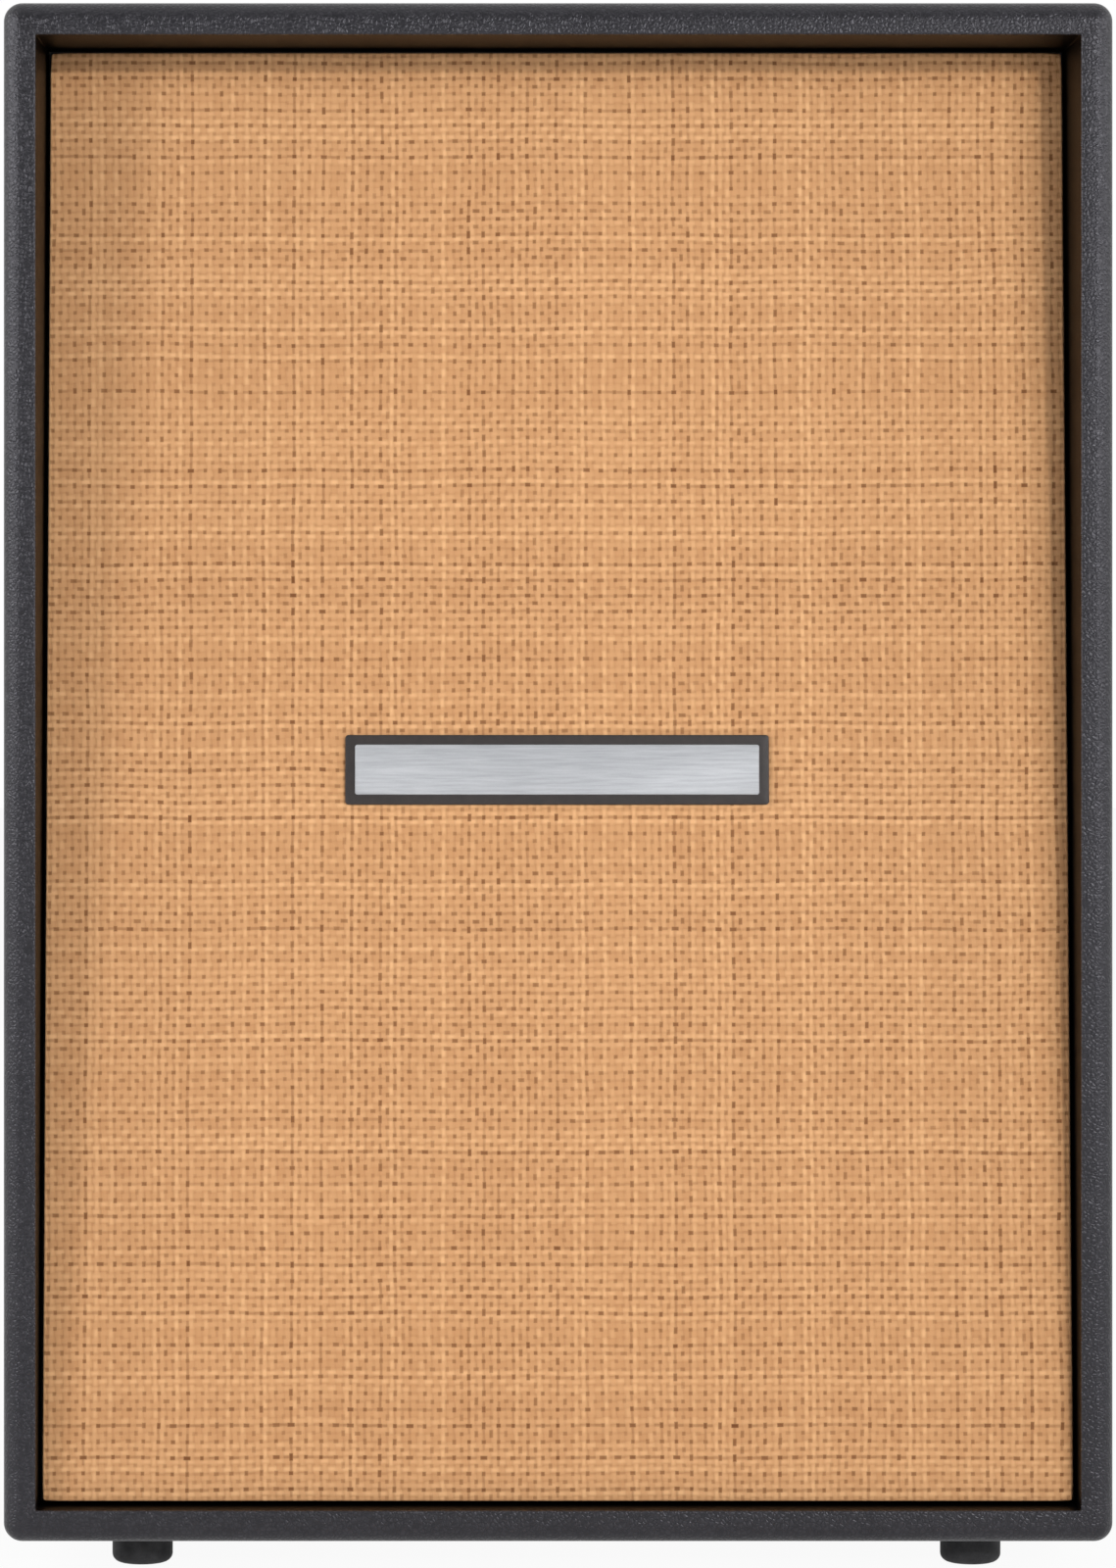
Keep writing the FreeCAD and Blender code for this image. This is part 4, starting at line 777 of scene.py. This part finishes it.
def makeBadgePiece():
    # a rounded rectangle carried up the plate's edge, in over its border and up onto the panel
    low, high = slopeBox("badge_plate")
    half, middle = (high - low) / 2, (high + low) / 2
    front, back = low[1], slopeBox("grille_cloth")[0][1]
    edge, border, bevel, field = badge["edge"], badge["border"], badge["bevel"], front + badge["step"]
    profile = [(0.0, back)] + arcPoints((edge, field + edge), edge, 180, 270, badge["edgeSteps"])
    profile += [(border, field), (border, front + bevel), (border + bevel, front)]
    rows = [(half[0] - inset, half[2] - inset, max(badge["corner"] - inset, badge["panelCorner"]), depth)
            for inset, depth in profile]
    points = uprighted(roundedLoops(rows), middle[0], middle[2]) @ slopeAxes
    piece = gridPiece("badgePlate", points, caps=True, sharp=40)
    raised = readPoints(piece.data.vertices) @ slopeAxes[1] < field - bevel
    onPanel = piece.data.attributes.new("panel", "FLOAT", "POINT")
    onPanel.data.foreach_set("value", raised.astype(np.float32))
    dress(piece, materials["badge"], "badge_plate")


makeBadgePiece()
print("badge: blank plate in the middle of the grille")


# Rubber feet: turned, with a rounded tread edge and a deep bore for the screw
foot = {"radius": 0.014, "tread": 0.004, "treadSteps": 8, "bore": 0.007, "boreChamfer": 0.0006,
        "seat": 0.008, "hole": 0.0026, "topDrop": 0.0008, "topInset": 0.0003, "steps": 40}


def makeFeet():
    # a profile of radius and height turned about each foot's own upright axis
    high = boxCorners("rubber_feet")[1]
    radius, tread, bore, top = foot["radius"], foot["tread"], foot["bore"], high[2]
    seat, chamfer = top - foot["seat"], foot["boreChamfer"]
    profile = [(foot["hole"], top), (foot["hole"], seat), (bore, seat)]
    profile += [(bore, chamfer), (bore + chamfer, 0.0)]
    profile += arcPoints((radius - tread, tread), tread, -90, 0, foot["treadSteps"])
    profile += [(radius, top - foot["topDrop"]), (radius - foot["topInset"], top)]
    ring = turnedRings(profile, foot["steps"])
    placeX, placeY = high[:2] - radius
    centres = np.array([(x, y, 0.0) for x in (-placeX, placeX) for y in (-placeY, placeY)])
    piece = gridPiece("rubberFeet", ring[None] + centres[:, None, None], wrapRows=True)
    dress(piece, materials["foot_rubber"], "rubber_feet")


makeFeet()


# Handle grips: rubber sleeves with rings
grip = {"rings": 22, "rowsPerRing": 12, "groove": 0.0006, "land": 0.2, "plainEnd": 0.009, "steps": 48}


def makeGrip(node):
    # a round bar whose radius dips in even grooves between its plain ends
    low, high = boxCorners(node)
    middle, radius = (low + high) / 2, (high[0] - low[0]) / 2
    first, last = low[1] + grip["plainEnd"], high[1] - grip["plainEnd"]
    run = np.linspace(low[1], high[1], grip["rowsPerRing"] * grip["rings"])
    wave = np.cos(2 * math.pi * grip["rings"] * (run - first) / (last - first))
    dip = np.clip(wave - grip["land"], 0, 1) / (1 - grip["land"])
    dip = np.where((run > first) & (run < last), dip, 0)
    rings = turnedRings(np.stack([radius - grip["groove"] * dip, run], axis=1), grip["steps"])
    piece = gridPiece(pieceName(node), uprighted(rings, middle[0], middle[2]), caps=True, sharp=50)
    dress(piece, materials["grip_rubber"], node)


makeGrip("left_handle_grip")
makeGrip("right_handle_grip")
print("feet and grips: turned rubber")


# Drivers: paper cones, pleated surrounds and spiders, domed caps
driver = {"steps": 120, "coneRows": 90, "capRows": 24, "paper": 0.0008, "ribs": 5, "ribHeight": 0.0004,
          "ribSpan": (0.35, 0.95), "suspension": 0.0006, "waveShare": 0.36, "rowsPerWave": 8,
          "surroundWaves": 3, "surroundLip": 0.005, "spiderWaves": 10, "spiderLip": 0.006,
          "glueGap": 0.0001}


def ringOnSlope(name, line, thickness, centre, sharp=40):
    # a line of radius and depth and the same line behind it, joined into one closed profile and turned
    # about the driver's axis, square to the slope; its flat map is the run round it and the run along it
    profile = np.concatenate([line, line[::-1] + (0, thickness)])
    points = uprighted(turnedRings(profile, driver["steps"]), *centre) @ slopeAxes
    run = runAlong(np.concatenate([profile, profile[:1]]))
    around = np.linspace(0, 2 * math.pi * line[:, 0].mean(), driver["steps"] + 1)
    flatMap = np.stack(np.meshgrid(around, run), axis=-1)
    return gridPiece(name, points, wrapRows=True, uv=flatMap, sharp=sharp)


def pleated(inner, outer, lipEnd, waves, level):
    # half waves between two radii, the first towards the front, then a flat lip
    radius = np.linspace(inner, outer, driver["rowsPerWave"] * waves + 1)
    step = (outer - inner) / waves
    depth = level - driver["waveShare"] * step * np.sin(math.pi * (radius - inner) / step)
    return np.concatenate([np.stack([radius, depth], axis=1), [(lipEnd, level)]])


def bendBetween(piece):
    # bakes the piece's place into its points, without bending it
    onSlope = readPoints(piece.data.vertices) @ slopeAxes.T
    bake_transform(piece)


def makeDriver(prefix):
    # the cone's depth changes evenly with its radius, with half waves as ribs; the cap is part of a ball
    low, high = slopeBox(prefix + "_cone")
    centre = ((low[0] + high[0]) / 2, (low[2] + high[2]) / 2)
    rim, paper = (high[0] - low[0]) / 2, driver["paper"]
    neck = np.ptp(nodePoints(prefix + "_voice_coil") @ slopeAxes[0]) / 2
    front, deep = low[1], high[1] - paper
    first, last = driver["ribSpan"]
    share = np.linspace(0, 1, driver["coneRows"])
    ripple = np.clip(np.sin(2 * math.pi * driver["ribs"] * (share - first) / (last - first)), 0, 1)
    ripple = np.where((share > first) & (share < last), ripple * driver["ribHeight"], 0)
    line = np.stack([neck + (rim - neck) * share, deep + (front - deep) * share - ripple], axis=1)
    cone = ringOnSlope(prefix + "Cone", line, paper, centre)
    dress(cone, materials["cone_paper"], prefix + "_cone")

    capLow, capHigh = slopeBox(prefix + "_dust_cap")
    capRadius, capHeight = (capHigh[0] - capLow[0]) / 2, capHigh[1] - capLow[1] - paper
    ball = (capRadius ** 2 + capHeight ** 2) / (2 * capHeight)
    angle = np.linspace(0, math.asin(capRadius / ball), driver["capRows"])
    dome = np.stack([ball * np.sin(angle), capLow[1] + ball * (1 - np.cos(angle))], axis=1)
    cap = ringOnSlope(prefix + "DustCap", dome, paper, centre)
    dress(cap, materials["cone_paper"], prefix + "_dust_cap")

    for part, inner in (("surround", rim + driver["glueGap"]), ("spider", neck)):
        node = prefix + "_" + part
        partLow, partHigh = slopeBox(node)
        lipEnd = (partHigh[0] - partLow[0]) / 2
        outer = lipEnd - driver[part + "Lip"]
        level = (partLow[1] + partHigh[1] - driver["suspension"]) / 2
        line = pleated(inner, outer, lipEnd, driver[part + "Waves"], level)
        piece = ringOnSlope(pieceName(node), line, driver["suspension"], centre, sharp=50)
        piece.data.materials.append(materials[slotOf[node]])
        bendBetween(piece)
        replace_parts(piece, node)

    leads = smoothCopy(prefix + "_tinsel_leads")
    leads.data.materials.append(materials["tinsel"])
    ends = nodePoints(prefix + "_tinsel_leads")
    reach = np.hypot(ends @ slopeAxes[0] - centre[0], ends @ slopeAxes[2] - centre[1])
    ends[reach.argmax()]
    ends[reach.argmin()]
    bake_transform(leads)
    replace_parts(leads, prefix + "_tinsel_leads")


for prefix in ("lower", "upper"):
    makeDriver(prefix)
print("drivers: cones, caps, surrounds, spiders and leads")


# What is left of the solids keeps its shape: flat boards as they are, round pieces as smooth copies
flatBoards = {"left_side_panel", "right_side_panel", "top_panel", "bottom_panel", "baffle_battens",
              "rear_battens", "grille_frame", "grille_hook_pads", "grille_loop_pads"}
stoodFor = {node for piece in scene.objects for node in piece.get("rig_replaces", [])}
plainNodes = sorted(set(frame["nodes"]) - stoodFor)
for node in plainNodes:
    if node in flatBoards:
        frame["nodes"][node].material_slots[0].material = materials[slotOf[node]]
    else:
        dress(smoothCopy(node), materials[slotOf[node]], node)
print("solids:", len(flatBoards), "boards and", len(plainNodes) - len(flatBoards), "copies")


# Camera at the photograph's place: level, square to the front, with the frame dropped below its axis
photo = {"wide": 1139, "high": 1600, "left": 4.0, "right": 1135.2, "top": 3.4, "axisRow": 608.0,
         "axisColumn": 484.0, "distance": 2.5}


def makeCamera():
    low, high = boxCorners("vinyl_covering")
    scale = (high[0] - low[0]) / (photo["right"] - photo["left"])     # where the rounded edges are widest
    widest = photo["distance"] + skin["edgeRadius"]
    camera = bpy.data.objects.new("camera", bpy.data.cameras.new("camera"))
    scene.collection.objects.link(camera)
    camera.data.lens = camera.data.sensor_width * widest / (scale * photo["high"])
    camera.data.shift_x = (photo["wide"] / 2 - photo["axisColumn"]) / photo["high"]
    camera.data.shift_y = (photo["axisRow"] - photo["high"] / 2) / photo["high"]
    aside = (photo["axisColumn"] - (photo["left"] + photo["right"]) / 2) * scale
    eyeHeight = high[2] - (photo["axisRow"] - photo["top"]) * scale
    camera.location = (aside, low[1] - photo["distance"], eyeHeight)
    camera.rotation_euler = (math.pi / 2, 0.0, 0.0)
    scene.camera = camera


makeCamera()


# Studio: each lamp's place, what it is aimed at, its size, and the share of a plain light level it brings
# there, for which its power grows with the square of the way
lamps = {
    "key": ((1.26, -5.30, 1.57), (0.0, -0.11, 0.45), (0.16, 0.16), 0.36),
    "left": ((-1.58, -1.86, 0.96), (0.0, -0.10, 0.36), (0.60, 0.90), 0.28),
    "right": ((1.02, -2.35, 0.96), (0.0, -0.10, 0.36), (0.60, 0.90), 0.29),
    "low": ((0.0, -1.75, 0.20), (0.0, -0.10, 0.15), (1.60, 0.25), 0.15),
    "sheen": ((1.60, -1.90, 0.72), (0.25, -0.15, 0.60), (1.20, 0.70), 0.19),
    "sideLeft": ((-2.3, -0.65, 1.10), (-0.2, 0.0, 0.45), (1.2, 1.0), 0.34),
    "sideRight": ((2.3, -0.65, 1.10), (0.2, 0.0, 0.45), (1.2, 1.0), 0.20),
    "backLeft": ((-1.6, 2.4, 1.7), (0.0, 0.1, 0.4), (1.6, 1.6), 0.45),
    "backRight": ((2.0, 2.2, 1.3), (0.0, 0.1, 0.4), (1.4, 1.4), 0.30),
}
unmirrored = {"key", "low", "backLeft", "backRight"}        # not seen in glossy surfaces
onlyMirrored = {"sheen"}                                    # seen in nothing else
studio = {"fill": 0.085, "floorColour": (0.84, 0.84, 0.84), "floorDim": 0.97, "floorCloud": 3.0,
          "floorRough": 0.9, "floorHalf": 9.0, "floorGlow": 0.94, "floorMirror": 0.70,
          "flagSpan": (34.0, 60.0), "flagShade": 0.03}
white = (1.0, 1.0, 1.0, 1.0)


def makeLamps():
    for name, (at, aim, size, share) in lamps.items():
        light = bpy.data.lights.new(name, "AREA")
        light.shape = "RECTANGLE"
        light.size, light.size_y = size
        toAim = Vector(aim) - Vector(at)
        light.energy = share * math.pi ** 2 * toAim.length_squared
        holder = bpy.data.objects.new(name, light)
        holder.location = at
        holder.rotation_euler = toAim.to_track_quat("-Z", "Y").to_euler()
        holder.visible_camera = False
        holder.visible_glossy = name not in unmirrored
        holder.visible_diffuse = name not in onlyMirrored
        scene.collection.objects.link(holder)


def seenDirectly(tree, mirrored):
    # 1 for rays from the camera and through glass, and what is given for rays from a glossy surface
    rays = tree.nodes.new("ShaderNodeLightPath").outputs
    direct = calc(tree, "MAXIMUM", rays["Is Camera Ray"], rays["Is Transmission Ray"])
    return calc(tree, "MAXIMUM", direct, times(tree, rays["Is Glossy Ray"], mirrored))


def makeWorld():
    # a dim fill that looks white to the camera, with a dark flag round the lens in mirrored light
    scene.world = bpy.data.worlds.new("studio")
    scene.world.use_nodes = True
    tree = scene.world.node_tree
    fill = tree.nodes["Background"]
    fill.inputs["Color"].default_value = white
    fill.inputs["Strength"].default_value = studio["fill"]
    pale = addNode(tree, "Background", {"Color": white, "Strength": 1.0})
    towards = tree.nodes.new("ShaderNodeTexCoord").outputs["Generated"]
    ahead = times(tree, addNode(tree, "SeparateXYZ", {0: towards}).outputs["Y"], -1.0)
    inner, outer = [math.cos(math.radians(angle)) for angle in studio["flagSpan"]]
    flag = remap(tree, ahead, outer, inner, 1.0, studio["flagShade"], "SMOOTHSTEP")
    share = seenDirectly(tree, flag)
    both = addNode(tree, "MixShader", {0: share, 1: fill.outputs[0], 2: pale.outputs[0]})
    plug(tree, both.outputs[0], tree.nodes["World Output"].inputs["Surface"])


def makeFloor():
    # a wide flat square, mostly glowing to the camera, so that it is near white and keeps the shadow
    reach = np.linspace(-studio["floorHalf"], studio["floorHalf"], 2)
    x, y = np.meshgrid(reach, reach)
    floor = gridPiece("floor", np.stack([x, y, 0 * x], axis=-1), wrapColumns=False)
    material, tree, shader = startFinish("floor", studio["floorRough"])
    light = studio["floorColour"] + (1.0,)
    dark = tuple(studio["floorDim"] * part for part in studio["floorColour"]) + (1.0,)
    cloud = noise(tree, place(tree), studio["floorCloud"])
    plug(tree, mixColour(tree, cloud, dark, light), shader.inputs["Base Color"])
    glow = addNode(tree, "Emission", {"Color": white, "Strength": 1.0})
    share = times(tree, seenDirectly(tree, studio["floorMirror"]), studio["floorGlow"])
    both = addNode(tree, "MixShader", {0: share, 1: shader.outputs[0], 2: glow.outputs[0]})
    plug(tree, both.outputs[0], tree.nodes["Material Output"].inputs["Surface"])
    floor.data.materials.append(material)


makeLamps()
makeWorld()
makeFloor()
scene.view_settings.view_transform = "Standard"
print("studio:", len(lamps), "lamps, floor and camera")
